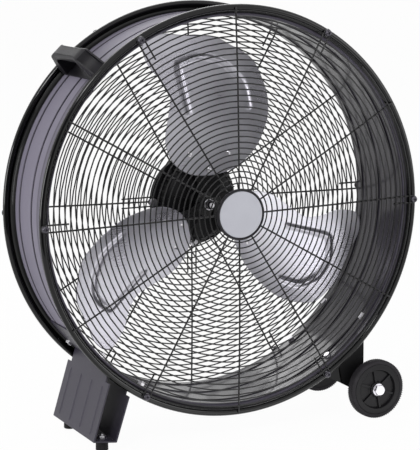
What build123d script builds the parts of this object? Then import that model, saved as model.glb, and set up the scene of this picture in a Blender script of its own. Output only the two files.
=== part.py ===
"""Drum fan, 24 inch, on a folded leg and two wheels.

The drum lies on its side: its axis runs along Y, the air leaves at -Y and +Z is up.
The origin is on the floor, under the drum's axis and half way along its depth.

Every piece is drawn in the fan frame, on the drum's axis: X points right and Y up as seen
from the front, and Z comes forward, out of the front guard. fan() then lays it in place.
"""

import os
from math import asin, cos, degrees, pi, radians, sin, sqrt

from build123d import *

# ---------------------------------------------------------------- driving dimensions, mm
RIM_RADIUS = 345.0        # outside of the rolled beads
DEPTH = 190.0             # front bead to rear bead
AXIS_HEIGHT = 379.0       # drum axis above the floor
BODY_RADIUS = 327.0       # outside of the sheet between the beads
DRUM_SHEET = 1.5
BEAD = 11.0               # across the rolled bead
FLARE_LENGTH = 10.0       # where the sheet opens out to each bead
FLARE_RISE = 7.5
GROOVE_PITCH = 58.0       # between the three pressed grooves
GROOVE_WIDTH = 9.0
GROOVE_DEPTH = 2.0

RING_WIRE = 2.4           # spiral of the guards
SPOKE_WIRE = 3.0
RING_PITCH = 9.66         # between turns of the spiral
RING_LAST = 331.0         # radius of the last turn
FRONT_FIRST = 46.4        # radius where the front guard's spiral starts
REAR_FIRST = 96.0         # and the rear guard's
SPIRAL_START = 240.0      # degrees from the right where both start
FRONT_DOME = 7.2          # the front guard's hub stands this far in front of its rim
REAR_DISH = 6.57          # the rear guard's centre sinks this far into the drum
SPOKES = 12
HUB_SHEET = 2.4           # plate that the spokes are welded to
LOOP_START = 300.0        # radius where the looped spokes start to bend
GUARD_SEAT = 318.0        # the guards lie level outside this radius
SCREW_CIRCLE = 337.5      # guard screws, on the bead
LOOP_WIDTH = 11.5         # across the wire loop round a screw
BADGE_RADIUS = 43.0

BLADES = 3
BLADE_SHEET = 2.0
BLADE_PITCH = 21.8        # degrees, at mid span
BLADE_LEAN = 2.3          # degrees that the blade leans forward along its length
BLADE_ROLL_RADIUS = 420.0 # the blades are rolled to this radius
BLADE_ROLL_SKEW = 16.2    # degrees between the roll's axis and the blade's centre line
BLADE_MIDDLE = 190.0      # mid span, from the fan's axis
BLADE_AT = -9.3           # and in front of mid depth
FIRST_BLADE = 1.1         # degrees from the top, against the clock

SHAFT_RADIUS = 6.0
SHAFT_STUD = 4.6          # its threaded end
MOTOR_RADIUS = 80.0
MOTOR_LENGTH = 40.0
MOTOR_WALL = 3.0
PLATE_RADIUS = 92.0
PLATE_SHEET = 2.0
PLATE_BOLT_CIRCLE = 72.0
HUB_FRONT = -14.0         # front of the blade hub, from mid depth

BOX_WIDTH = 92.0
BOX_HEIGHT = 76.0
BOX_DEPTH = 22.0
BOX_WALL = 2.5
KNOB_DEPTH = 9.5

WHEEL_RADIUS = 52.0
WHEEL_WIDTH = 18.0
WHEEL_X = 260.6
WHEEL_FACE = 113.0        # outer face of each wheel, from mid depth
TYRE = 8.0                # thickness of the tyre
AXLE_RADIUS = 6.0
AXLE_HEAD = 8.5           # height of the axle's hex head and of its nut

LEG_LENGTH = 190.0
NECK_LENGTH = 159.0       # the leg and the bracket between the beads
BRACKET_SHEET = 2.5
FOOT_RADIUS = 10.5
FOOT_AT = 75.0            # feet, from mid depth
BOLT_AT = 69.0            # leg and bracket bolts, from mid depth
BOLT_RADIUS = 3.0
BOLT_HEAD = 6.4           # corner radius of their heads and nuts

GRIP_ANGLE = 133.4        # the handle, degrees from the right
GRIP_WIDTH = 24.0
HANDLE_WIDTH = 28.0

TURNING = 0.04            # radial clearance of a turning fit
GAP = 0.3                 # between pieces that turn past each other
ROUND = 20                # flats that stand for a round edge
SMALL_ROUND = 12
FRONT_STEP = 24.0         # degrees from bend to bend of the spirals
REAR_STEP = 30.0
SMALL_STEP = 36.0         # and on their small turns
SMALL_TURN = 150.0

HALF = DEPTH / 2
NECK = NECK_LENGTH / 2
AXLE = (WHEEL_X, WHEEL_RADIUS - AXIS_HEIGHT)
FORWARD = Vector(0, 0, 1)
SIDE = Plane(origin=(0, 0, 0), x_dir=(0, 0, 1), z_dir=(0, 1, 0))  # X forward, Y outward


# ---------------------------------------------------------------- helpers
def fan(shape):
    """Take a shape, or a list that is one group of solids, to the object's frame."""
    if isinstance(shape, list):
        shape = Compound(children=shape)
    return Pos(0, 0, AXIS_HEIGHT) * Rot(90, 0, 0) * shape


def rear(shape):
    """Turn a shape made for the front round to the rear."""
    return Rot(0, 180, 0) * shape


def polar(radius, angle, forward=0.0):
    return Vector(radius * cos(radians(angle)), radius * sin(radians(angle)), forward)


def around(radius, flats):
    """Corner radius of a polygon whose flats lie outside a circle."""
    return radius / cos(pi / flats)


def barrel(radius, back, front, flats=ROUND, bore=0.0):
    """A prism of many flats along the axis; radius and bore are taken to the corners."""
    section = RegularPolygon(radius, flats)
    if bore:
        section -= RegularPolygon(bore, flats)
    return Pos(0, 0, back) * extrude(section, front - back)


def rod(radius, back, front):
    """A true cylinder, for what turns or is turned on."""
    return Pos(0, 0, back) * extrude(Circle(radius), front - back)


def outline(*points):
    return make_face(Polyline(*points, close=True))


def folded(thick, *points):
    """Section of a folded sheet whose outside runs along points, metal on their left."""
    line = Polyline(*points)
    return make_face(offset(line, amount=thick, kind=Kind.INTERSECTION, side=Side.LEFT))


def sector(inner, outer, start, end):
    wedge = outline((0, 0), polar(2 * outer, start), polar(2 * outer, end))
    return (Circle(outer) - Circle(inner)) & wedge


def stood(shape, place, angle, forward):
    """Turn a shape made along the axis to point outward at an angle, from a place."""
    return Pos(*place, 0) * Pos(0, 0, forward) * Rot(0, 0, angle) * Rot(0, 90, 0) * shape


def radial(shape, radius, angle, forward):
    """The same, at a radius from the drum's axis."""
    return Rot(0, 0, angle) * stood(shape, (radius, 0), 0, forward)


def bent_wire(points, corners):
    """A drawn wire bent at each point, with flat sides and mitred bends.

    corners is its cross-section, as (sideways, forward) from the wire's centre line.
    """
    rings = []
    for index, point in enumerate(points):
        before = (point - points[index - 1]).normalized() if index else None
        after = (points[index + 1] - point).normalized() if index + 1 < len(points) else None
        along = ((before or after) + (after or before)).normalized()
        half_turn = before.get_angle(after) / 2 if before and after else 0.0
        side = along.cross(FORWARD).normalized() / cos(radians(half_turn))
        rings.append([point + side * across + FORWARD * high for across, high in corners])
    faces = [Face(Wire.make_polygon(rings[0][::-1])), Face(Wire.make_polygon(rings[-1]))]
    for near, far in zip(rings, rings[1:]):
        for corner in range(len(corners)):
            other = (corner + 1) % len(corners)
            faces.append(Face(Wire.make_polygon([near[corner], near[other], far[other]])))
            faces.append(Face(Wire.make_polygon([near[corner], far[other], far[corner]])))
    return Solid(Shell(faces))


# ---------------------------------------------------------------- drum
LEG_BOLT_ANGLES = (-136.5, -121.0)
BRACKET_BOLT_ANGLES = (-55.4, -39.0)


def wall_places(angles):
    """The four bolts of the leg or the bracket: (angle, forward)."""
    return [(angle, forward) for angle in angles for forward in (-BOLT_AT, BOLT_AT)]


def sheet_side(radius):
    """One face of the drum's sheet, from the rear bead to the front one."""
    end = HALF - BEAD / 2
    side = [(radius + FLARE_RISE, -end), (radius, FLARE_LENGTH - end)]
    for groove in (-GROOVE_PITCH, 0.0, GROOVE_PITCH):
        side.append((radius, groove - GROOVE_WIDTH / 2))
        side.append((radius - GROOVE_DEPTH, groove))
        side.append((radius, groove + GROOVE_WIDTH / 2))
    return side + [(radius, end - FLARE_LENGTH), (radius + FLARE_RISE, end)]


def drum_shell():
    """Rolled sheet with three pressed grooves, opened out at each end to a rolled bead."""
    section = outline(*sheet_side(BODY_RADIUS), *sheet_side(BODY_RADIUS - DRUM_SHEET)[::-1])
    bead = RegularPolygon(BEAD / 2, 6, major_radius=False)
    for end in (-1, 1):
        section += Pos(RIM_RADIUS - BEAD / sqrt(3), end * (HALF - BEAD / 2)) * bead
    return fan(revolve(Plane.XZ * section, Axis.Z))


# ---------------------------------------------------------------- guards
def spoke_height(radius, rise):
    """Centre line of a spoke above the bead's end face."""
    return SPOKE_WIRE / 2 + rise * max(0.0, 1 - (radius / GUARD_SEAT) ** 3)


def spiral(first, rise, step):
    """One wire wound outward over the spokes, against the clock."""
    points, turned, radius = [], 0.0, first
    lift = HALF + (SPOKE_WIRE + RING_WIRE) / 2
    while radius < RING_LAST:
        points.append(polar(radius, SPIRAL_START + turned, lift + spoke_height(radius, rise)))
        turned += SMALL_STEP if radius < SMALL_TURN else step
        radius = first + RING_PITCH * turned / 360
    half = RING_WIRE / 2
    return bent_wire(points, [(-half, half), (half, half), (0, -half)])


def spoke(inner, rise, looped):
    """A straight spoke, or one whose end is bent into a loop round its screw."""
    side, tip = LOOP_WIDTH / 2, SCREW_CIRCLE + 5
    path = [(inner, 0), ((inner + LOOP_START) / 2, 0), (LOOP_START, 0)]
    if looped:
        path += [(GUARD_SEAT, -side), (SCREW_CIRCLE, -side), (tip, 0)]
        path += [(SCREW_CIRCLE, side), (GUARD_SEAT, side), (SCREW_CIRCLE - 28, side)]
    else:
        path += [(GUARD_SEAT, 0), (SCREW_CIRCLE + 3, 0)]
    half = SPOKE_WIRE / 2
    points = [Vector(radius, across, HALF + spoke_height(radius, rise)) for radius, across in path]
    return bent_wire(points, [(-half, -half), (-half, half), (half, half), (half, -half)])


def guard_spokes(inner, rise, hub_radius, hub_bore):
    """Twelve spokes welded to a hub plate; every second one is looped round a screw."""
    hub_back = hub_seat(inner, rise)
    guard = barrel(hub_radius, hub_back, hub_back + HUB_SHEET, ROUND, hub_bore)
    for index in range(SPOKES):
        guard += Rot(0, 0, index * 360 / SPOKES) * spoke(inner, rise, index % 2 == 0)
    return guard


def hub_seat(inner, rise):
    """Back face of a guard's hub plate; its spokes are welded a little into the front."""
    return HALF + spoke_height(inner, rise) - SPOKE_WIRE / 2 - HUB_SHEET + 0.4


def guard_screws():
    """Pan-head screws through the loops, driven into the bead."""
    screw = barrel(5.2, SPOKE_WIRE, SPOKE_WIRE + 3.2, 6) + barrel(2.2, -8, SPOKE_WIRE, 4)
    step = 720 / SPOKES
    return [Rot(0, 0, index * step) * Pos(SCREW_CIRCLE, 0, HALF) * screw for index in range(SPOKES // 2)]


FRONT_INNER = 37.0        # where the front spokes start, on the badge's seat
REAR_INNER = 84.0         # and the rear ones, on the motor's ring
BADGE_SEAT = hub_seat(FRONT_INNER, FRONT_DOME)
CUP_BACK = BADGE_SEAT + HUB_SHEET + SPOKE_WIRE - 0.3
CUP_SHEET = 2.5
CUP_LIP = 4.1             # width of the lip round the badge
BADGE_ROUND = 30          # flats round the badge


def front_guard_spokes():
    guard = guard_spokes(FRONT_INNER, FRONT_DOME, 40, 0)
    return fan(guard - barrel(BOLT_RADIUS, 0, HALF + 20, 6))


def rear_guard_spokes():
    guard = guard_spokes(REAR_INNER, -REAR_DISH, 90, 64)
    return fan(rear(guard - plate_bolt_holes()))


def badge_cup():
    """Moulded cup in front of the hub plate, with a lip round the badge."""
    cup = barrel(BADGE_RADIUS, CUP_BACK, CUP_BACK + 6.5, BADGE_ROUND)
    cup -= barrel(BADGE_RADIUS - CUP_LIP, CUP_BACK + CUP_SHEET, HALF + 40, BADGE_ROUND)
    return fan(cup + barrel(8, BADGE_SEAT + HUB_SHEET, CUP_BACK, SMALL_ROUND))


def guard_badge():
    """Plain disc, set in the cup."""
    back = CUP_BACK + CUP_SHEET
    return fan(barrel(BADGE_RADIUS - CUP_LIP - 0.1, back, back + 3.3, BADGE_ROUND))


def badge_screw():
    """From behind, through the hub plate into the cup's boss."""
    return fan(barrel(6, BADGE_SEAT - 3, BADGE_SEAT, 8) + barrel(2.5, BADGE_SEAT, CUP_BACK + 1.5, 6))


# ---------------------------------------------------------------- motor
PLATE_REAR = -hub_seat(REAR_INNER, -REAR_DISH)
MOTOR_REAR = PLATE_REAR + PLATE_SHEET
MOTOR_FRONT = MOTOR_REAR + MOTOR_LENGTH
MOTOR_MIDDLE = MOTOR_REAR + MOTOR_LENGTH / 2
MOTOR_STEP = MOTOR_FRONT - 6.0    # shoulder of the front bell
BEARING_RADIUS = 16.0
BEARING_WIDTH = 10.0


def plate_bolt_holes():
    """Four holes round the motor's ring, for subtraction on either side."""
    hole = barrel(BOLT_RADIUS + 0.1, -2 * HALF, 2 * HALF, 6)
    places = [Pos(*polar(PLATE_BOLT_CIRCLE, angle)) * hole for angle in (0, 90, 180, 270)]
    return Compound(children=places)


def motor_front_bell():
    """Die-cast bell, stepped in at the front, with the bearing's seat inside."""
    bell = barrel(MOTOR_RADIUS, MOTOR_MIDDLE, MOTOR_STEP) + barrel(62, MOTOR_STEP, MOTOR_FRONT)
    bell -= barrel(MOTOR_RADIUS - MOTOR_WALL, MOTOR_MIDDLE, MOTOR_STEP - MOTOR_WALL)
    seat_back = MOTOR_FRONT - MOTOR_WALL - BEARING_WIDTH
    bell += barrel(BEARING_RADIUS + MOTOR_WALL, seat_back, MOTOR_STEP)
    bell -= barrel(BEARING_RADIUS, seat_back, MOTOR_FRONT - MOTOR_WALL)
    return fan(bell - barrel(SHAFT_RADIUS + 2, MOTOR_STEP, 0, SMALL_ROUND))


def motor_rear_bell():
    """The same behind, closed, and tapped for the four bolts."""
    bell = barrel(MOTOR_RADIUS, MOTOR_REAR, MOTOR_MIDDLE)
    floor = MOTOR_REAR + MOTOR_WALL
    bell -= barrel(MOTOR_RADIUS - MOTOR_WALL, floor, MOTOR_MIDDLE)
    seat = barrel(BEARING_RADIUS + MOTOR_WALL, floor, floor + BEARING_WIDTH, ROUND, BEARING_RADIUS)
    return fan(bell + seat)


def motor_stator():
    """Wound core, pressed between the bells."""
    return fan(barrel(MOTOR_RADIUS - MOTOR_WALL - 0.7, MOTOR_MIDDLE - 6, MOTOR_MIDDLE + 6, ROUND, 42))


def rotor_core():
    """Laminated core on the shaft."""
    bore = around(SHAFT_RADIUS, ROUND)
    return fan(barrel(41, MOTOR_MIDDLE - 5.5, MOTOR_MIDDLE + 5.5, ROUND, bore))


def bearing(back):
    """Ball bearing, as the one ring that the shaft turns in."""
    bore = barrel(around(SHAFT_RADIUS + TURNING, SMALL_ROUND), -DEPTH, 0, SMALL_ROUND)
    return fan(barrel(BEARING_RADIUS, back, back + BEARING_WIDTH) - bore)


def motor_shaft():
    """Stepped at the hub's front, where its nut is."""
    shaft = rod(SHAFT_RADIUS, MOTOR_REAR + MOTOR_WALL + GAP, HUB_FRONT)
    return fan(shaft + barrel(SHAFT_STUD, HUB_FRONT, HUB_FRONT + 11, SMALL_ROUND))


def motor_plate():
    """Round steel plate that carries the motor on the rear guard."""
    plate = barrel(PLATE_RADIUS, PLATE_REAR, MOTOR_REAR, ROUND, 36)
    return fan(plate - plate_bolt_holes())


def motor_plate_bolts():
    """Four bolts through the guard's ring and the plate into the rear bell."""
    bolt = barrel(6.5, HUB_SHEET, HUB_SHEET + 4.5, 6) + barrel(BOLT_RADIUS, -PLATE_SHEET - MOTOR_WALL, HUB_SHEET, 6)
    places = [polar(PLATE_BOLT_CIRCLE, angle, -PLATE_REAR) for angle in (0, 90, 180, 270)]
    return fan([rear(Pos(*place) * bolt) for place in places])


# ---------------------------------------------------------------- rotor
BLADE_PLACE = (
    Pos(0, BLADE_MIDDLE, BLADE_AT) * Rot(BLADE_LEAN, -BLADE_PITCH, 0) * Rot(0, 0, -BLADE_ROLL_SKEW)
)


def rolled(flat, behind, thick):
    """A sheet with a flat outline, rolled to the blades' curve and set at their pitch.

    The outline is (clockwise, outward) from the fan's axis. behind is how far the
    sheet's front face lies behind the blade's own front face.
    """
    reach, inner = 170.0, BLADE_ROLL_RADIUS + behind
    arc = (Circle(inner + thick) - Circle(inner)) & (Pos(0, -inner) * Rectangle(2 * reach, inner))
    sheet = Rot(90, 0, 0) * extrude(arc, 2 * reach, both=True)
    placed = BLADE_PLACE * Pos(0, 0, BLADE_ROLL_RADIUS) * sheet
    return placed & (Pos(0, 0, -HALF) * extrude(flat, DEPTH))


def on_blades(shape):
    """The shape at each of the blades, counted against the clock from the top."""
    return [Rot(0, 0, FIRST_BLADE + index * 360 / BLADES) * shape for index in range(BLADES)]


BLADE_OUTLINE = outline(
    (0, 50), (31, 59), (60, 84), (83, 129), (90, 174), (84, 214), (66, 249), (37, 273), (0, 287),
    (-46, 294), (-84, 293), (-108, 282), (-99, 245), (-71, 212), (-61, 178), (-66, 140),
    (-68, 108), (-57, 74), (-32, 54),
)
RIVETS = ((-2, -108.5), (60, -88), (37, -124.5))   # (across the roll, along it) from mid span
ARM_SHEET = 2.5


def on_sheet(shape, across, along):
    """Stand a shape on the blade's front face, at a place on the rolled sheet."""
    placed = Rot(0, -degrees(across / BLADE_ROLL_RADIUS), 0) * Pos(0, along, -BLADE_ROLL_RADIUS) * shape
    return BLADE_PLACE * Pos(0, 0, BLADE_ROLL_RADIUS) * placed


def blades():
    """Three pressed aluminium blades, rolled and pitched alike."""
    return on_blades(rolled(BLADE_OUTLINE, 0.0, BLADE_SHEET))


def blade_hub():
    """Steel spider: a boss on the shaft and a pressed arm behind each blade."""
    arm = outline((-20, 12), (-40, 84), (-26, 102), (26, 102), (40, 84), (20, 12))
    hub = barrel(24, HUB_FRONT - 24, HUB_FRONT, SMALL_ROUND)
    for shape in on_blades(rolled(arm, BLADE_SHEET, ARM_SHEET)):
        hub += shape
    hub -= barrel(12, HUB_FRONT, HALF, SMALL_ROUND)
    return fan(hub - barrel(around(SHAFT_RADIUS, SMALL_ROUND), -HALF, HALF, SMALL_ROUND))


def blade_rivets():
    """Nine rivets that hold the blades to the arms."""
    grip = BLADE_SHEET + ARM_SHEET
    rivet = barrel(2.5, -grip - 1, 0, 4) + barrel(4.5, 0, 1.8, 6)
    return fan([placed for place in RIVETS for placed in on_blades(on_sheet(rivet, *place))])


def shaft_nut():
    """Hex nut and its washer, on the end of the shaft."""
    washer = barrel(10, HUB_FRONT, HUB_FRONT + 1.6, SMALL_ROUND)
    nut = washer + barrel(7.8, HUB_FRONT + 1.6, HUB_FRONT + 9, 6)
    return fan(nut - barrel(SHAFT_STUD, -HALF, HALF, SMALL_ROUND))


# ---------------------------------------------------------------- switch
BOX_SEAT = -PLATE_REAR
BOX_FACE = BOX_SEAT + BOX_DEPTH
SWITCH_AT = (0.0, 9.0)
GLAND_AT = (-14.0, -BOX_HEIGHT / 2)
SPINDLE = 3.0


def cut_corners(width, height, corner):
    rectangle = Rectangle(width, height)
    return chamfer(rectangle.vertices(), corner)


def switch_box():
    """Moulded box behind the motor, open towards its plate, with a lug on each side."""
    box = Pos(0, 0, BOX_SEAT) * extrude(cut_corners(BOX_WIDTH, BOX_HEIGHT, 6), BOX_DEPTH)
    inside = cut_corners(BOX_WIDTH - 2 * BOX_WALL, BOX_HEIGHT - 2 * BOX_WALL, 5)
    box -= Pos(0, 0, BOX_SEAT) * extrude(inside, BOX_DEPTH - BOX_WALL)
    box -= Pos(*SWITCH_AT) * barrel(SPINDLE + 2, 0, DEPTH, SMALL_ROUND)
    gland_hole = barrel(6.1, -2 * BOX_WALL, BOX_WALL, SMALL_ROUND)
    box -= stood(gland_hole, GLAND_AT, -90, BOX_SEAT + BOX_DEPTH / 2)
    for end in (-1, 1):
        lug = Pos(end * (BOX_WIDTH / 2 + 5), 0, BOX_SEAT + 1.5) * Box(10, 14, 3)
        box += lug - Pos(end * (BOX_WIDTH / 2 + 5), 0) * barrel(2.2, 0, DEPTH, 6)
    return fan(rear(box))


def switch_box_screws():
    """One through each lug into the motor's plate."""
    screw = barrel(4, 3, 6, 8) + barrel(2, -PLATE_SHEET, 3, 6)
    return fan([rear(Pos(end * (BOX_WIDTH / 2 + 5), 0, BOX_SEAT) * screw) for end in (-1, 1)])


def speed_switch():
    """Rotary switch behind the box's face, its spindle through the hole."""
    body = Pos(*SWITCH_AT, BOX_FACE - BOX_WALL - 7) * Box(34, 30, 14)
    bore = barrel(around(SPINDLE + TURNING, SMALL_ROUND), 0, DEPTH, SMALL_ROUND)
    return fan(rear(body - Pos(*SWITCH_AT) * bore))


def switch_spindle():
    spindle = rod(SPINDLE, BOX_FACE - 14, BOX_FACE + KNOB_DEPTH - 2)
    return fan(rear(Pos(*SWITCH_AT) * spindle))


def speed_knob():
    """Round knob with a grip bar, which points at the speed."""
    back = BOX_FACE + GAP
    knob = barrel(19, back, back + 4) + Pos(0, 0, back + KNOB_DEPTH / 2) * Box(7, 36, KNOB_DEPTH)
    knob -= barrel(around(SPINDLE, SMALL_ROUND), 0, BOX_FACE + KNOB_DEPTH - 2, SMALL_ROUND)
    return fan(rear(Pos(*SWITCH_AT) * knob))


def capacitor():
    """Run capacitor, beside the switch."""
    return fan(rear(Pos(0, -22, BOX_SEAT + 9) * extrude(cut_corners(52, 20, 4), 8, both=True)))


def cable_gland():
    """Clamping gland in the box's lower side, with its bore open."""
    gland = barrel(6, -BOX_WALL, 0, SMALL_ROUND) + barrel(9, 0, 5, 6) + barrel(7, 5, 13, SMALL_ROUND)
    gland -= barrel(3.8, -BOX_WALL, 13, SMALL_ROUND)
    return fan(rear(stood(gland, GLAND_AT, -90, BOX_SEAT + BOX_DEPTH / 2)))


# ---------------------------------------------------------------- handle
GRIP_HALF = 54.0          # half the grip's level length
GRIP_TOP = 375.5          # from the drum's axis
GRIP_THICK = 14.0
FOOT_TOP = 341.0          # where the handle's ends turn up from their feet
HANDLE_HALF = 83.0


def handle():
    """Moulded grip over the drum: a level bar, two sloping legs and a thin base plate."""
    bottom, base = BODY_RADIUS, BODY_RADIUS + 2.5
    side = outline(
        (-NECK, bottom), (-NECK, bottom + 5), (-HANDLE_HALF, bottom + 9), (-HANDLE_HALF, FOOT_TOP),
        (-GRIP_HALF, GRIP_TOP), (GRIP_HALF, GRIP_TOP), (HANDLE_HALF, FOOT_TOP),
        (HANDLE_HALF, bottom + 9), (NECK, bottom + 5), (NECK, bottom),
    )
    side -= outline(
        (-62, base), (-GRIP_HALF + 8, GRIP_TOP - GRIP_THICK), (GRIP_HALF - 8, GRIP_TOP - GRIP_THICK),
        (62, base),
    )
    body = extrude(SIDE * side, HANDLE_WIDTH / 2, both=True)
    for end in (-1, 1):
        trough = outline((end * 58, GRIP_TOP), (end * 56, 368), (end * 76, 343), (end * 84, 346))
        body -= extrude(SIDE * trough, HANDLE_WIDTH / 2 - 3, both=True)
    for end in (-1, 1):
        relief = Pos(GRIP_TOP, end * HANDLE_WIDTH / 2, 0) * Box(40, HANDLE_WIDTH - GRIP_WIDTH, 2 * GRIP_HALF)
        body -= relief
    body -= Pos(0, 0, -HALF) * rod(BODY_RADIUS, 0, DEPTH)
    return fan(Rot(0, 0, GRIP_ANGLE) * body)


def handle_screws():
    """From inside the drum into the handle's feet."""
    screw = barrel(5, -2.5, -0.1, 8) + barrel(2.2, -0.1, 14, 6)
    inside = BODY_RADIUS - DRUM_SHEET
    return fan([radial(screw, inside, GRIP_ANGLE, forward) for forward in (-71, 71)])


# ---------------------------------------------------------------- leg
LEG_SHEET = 2.5
LEG_LINE = (
    (-224.7, -235.0), (-233.5, -263.5), (-263.0, -359.5),
    (-221.5, -364.3), (-197.1, -289.8), (-188.9, -264.6),
)
PLATE_TURN = 83.4         # degrees from the right to the bottom plate's inward normal
FOOT_X = -240.0
FOOT_Y = -362.14          # bottom plate's outer face, over the feet
RIB_LENGTH = 84.0


def wall_rib(top, bottom, forward):
    """A pressed rib on the outside of a wall that runs from top to bottom."""
    run = Vector(*bottom) - Vector(*top)
    middle = (Vector(*bottom) + Vector(*top)) / 2 + FORWARD * forward
    wall = Plane(origin=middle, x_dir=run.normalized(), z_dir=run.cross(FORWARD).normalized())
    return wall * Pos(0, 0, -0.2) * extrude(Rectangle(RIB_LENGTH, 6), 1.6, taper=50)


def drum_flange(start, end):
    """Flange on the drum's wall, from one angle to another."""
    ring = sector(BODY_RADIUS, BODY_RADIUS + LEG_SHEET, start, end)
    return extrude(ring, NECK, both=True)


def support_leg():
    """Folded sheet: two walls and a bottom plate, narrower where it meets the drum."""
    leg = extrude(folded(LEG_SHEET, *LEG_LINE[1:5]), LEG_LENGTH / 2, both=True)
    leg += extrude(folded(LEG_SHEET, *LEG_LINE), NECK, both=True)
    leg += drum_flange(-145, -133) + drum_flange(-126, -117)
    leg -= Pos(0, 0, -DEPTH) * rod(BODY_RADIUS, 0, 2 * DEPTH)
    for forward in (-72, -24, 24, 72):
        leg += wall_rib(LEG_LINE[1], LEG_LINE[2], forward)
    hole = barrel(BOLT_RADIUS + 0.1, -9, 9, 6)
    for angle, forward in wall_places(LEG_BOLT_ANGLES):
        leg -= radial(hole, BODY_RADIUS, angle, forward)
    for forward in (-FOOT_AT, FOOT_AT):
        leg -= stood(hole, (FOOT_X, FOOT_Y), PLATE_TURN, forward)
    return fan(leg)


def wall_bolts(angles, head_outside):
    """Four hex bolts through a flange and the drum's sheet."""
    outside, inside = BODY_RADIUS + LEG_SHEET, BODY_RADIUS - DRUM_SHEET - 0.1
    if head_outside:
        bolt = barrel(BOLT_HEAD, outside, outside + 4.5, 6) + barrel(BOLT_RADIUS, inside - 8, outside, 6)
    else:
        bolt = barrel(BOLT_HEAD, inside - 4.5, inside, 6) + barrel(BOLT_RADIUS, inside, outside + 8, 6)
    return fan([radial(bolt, 0, angle, forward) for angle, forward in wall_places(angles)])


def wall_nuts(angles, seat):
    """Their nuts, on the other side."""
    nut = barrel(BOLT_HEAD, seat, seat + 5, 6, BOLT_RADIUS)
    return fan([radial(nut, 0, angle, forward) for angle, forward in wall_places(angles)])


def rubber_feet():
    """Two round feet, level below and cut above to the tilted plate."""
    above = extrude(outline(LEG_LINE[2], LEG_LINE[3], (-215, -320), (-270, -320)), DEPTH, both=True)
    foot = Rot(-90, 0, 0) * barrel(FOOT_RADIUS, 0, 40, SMALL_ROUND)
    return fan([Pos(FOOT_X, -AXIS_HEIGHT, end * FOOT_AT) * foot - above for end in (-1, 1)])


def foot_studs():
    """Moulded into the feet and standing up through the plate."""
    stud = barrel(BOLT_RADIUS, -9, LEG_SHEET + 8, 6)
    return fan([stood(stud, (FOOT_X, FOOT_Y), PLATE_TURN, end * FOOT_AT) for end in (-1, 1)])


def foot_nuts():
    nut = barrel(7.5, LEG_SHEET, LEG_SHEET + 5.5, 6, BOLT_RADIUS)
    return fan([stood(nut, (FOOT_X, FOOT_Y), PLATE_TURN, end * FOOT_AT) for end in (-1, 1)])


# ---------------------------------------------------------------- wheels
BRACKET_LINE = ((194.0, -262.0), (200.5, -290.0), (206.0, -317.0))
BRACKET_OUT = 250.5       # outer side of the bracket
BOSS_RADIUS = 17.5        # round the axle
SPACER_RADIUS = 9.0


def tangent(place, side):
    """Where a line from place touches the bracket's boss; side is 1 or -1."""
    to_axle = Vector(*AXLE) - Vector(*place)
    reach = to_axle.length
    run = sqrt(reach ** 2 - BOSS_RADIUS ** 2)
    turned = to_axle.normalized().rotate(Axis.Z, side * degrees(asin(BOSS_RADIUS / reach)))
    return Vector(*place) + turned * run


def wheel_bracket():
    """Folded sheet under the drum: saddle, two skirts and two end plates round the axle."""
    skirt_end = (BRACKET_OUT, -290.0)
    plate = outline(
        *BRACKET_LINE, tangent(BRACKET_LINE[-1], -1), AXLE, tangent(skirt_end, 1), skirt_end,
        (BRACKET_OUT, -200),
    )
    plate += Pos(*AXLE) * RegularPolygon(BOSS_RADIUS, SMALL_ROUND)
    plate -= Pos(*AXLE) * RegularPolygon(around(AXLE_RADIUS, SMALL_ROUND), SMALL_ROUND)
    bracket = extrude(folded(BRACKET_SHEET, *BRACKET_LINE), NECK, both=True)
    bracket += drum_flange(-61, -33)
    bracket += Pos(BRACKET_OUT - BRACKET_SHEET / 2, -257.5, 0) * Box(BRACKET_SHEET, 65, NECK_LENGTH)
    for end in (-NECK, NECK - BRACKET_SHEET):
        bracket += Pos(0, 0, end) * extrude(plate, BRACKET_SHEET)
    bracket -= Pos(0, 0, -DEPTH) * rod(BODY_RADIUS, 0, 2 * DEPTH)
    hole = barrel(BOLT_RADIUS + 0.1, -9, 9, 6)
    for angle, forward in wall_places(BRACKET_BOLT_ANGLES):
        bracket -= radial(hole, BODY_RADIUS, angle, forward)
    return fan(bracket)


def wheel_axle():
    """Long bolt through the bracket and both wheels."""
    axle = rod(AXLE_RADIUS, -WHEEL_FACE - AXLE_HEAD, WHEEL_FACE)
    return fan(Pos(*AXLE) * (axle + barrel(9.8, WHEEL_FACE, WHEEL_FACE + AXLE_HEAD, 6)))


def axle_nut():
    nut = barrel(9.8, WHEEL_FACE, WHEEL_FACE + AXLE_HEAD, 6, around(AXLE_RADIUS, 6))
    return fan(Pos(*AXLE) * rear(nut))


def axle_spacers():
    """Sleeves that hold the wheels off the bracket."""
    inner_face = WHEEL_FACE - WHEEL_WIDTH
    sleeve = barrel(SPACER_RADIUS, NECK, inner_face - GAP, SMALL_ROUND, around(AXLE_RADIUS, SMALL_ROUND))
    return fan([Pos(*AXLE) * sleeve, Pos(*AXLE) * rear(sleeve)])


def wheel():
    """Moulded disc with a hub and six ribs in a shallow recess on its outer side."""
    back, face = WHEEL_FACE - WHEEL_WIDTH, WHEEL_FACE - GAP
    body = barrel(WHEEL_RADIUS - TYRE, back, face - 1)
    body -= barrel(33, face - 6, face)
    body += barrel(13, face - 6, face, SMALL_ROUND)
    for index in range(6):
        body += Rot(0, 0, 31 + index * 60) * Pos(23, 0, face - 4.5) * Box(22, 3, 3)
    return body - barrel(around(AXLE_RADIUS + TURNING, SMALL_ROUND), 0, 2 * DEPTH, SMALL_ROUND)


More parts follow.
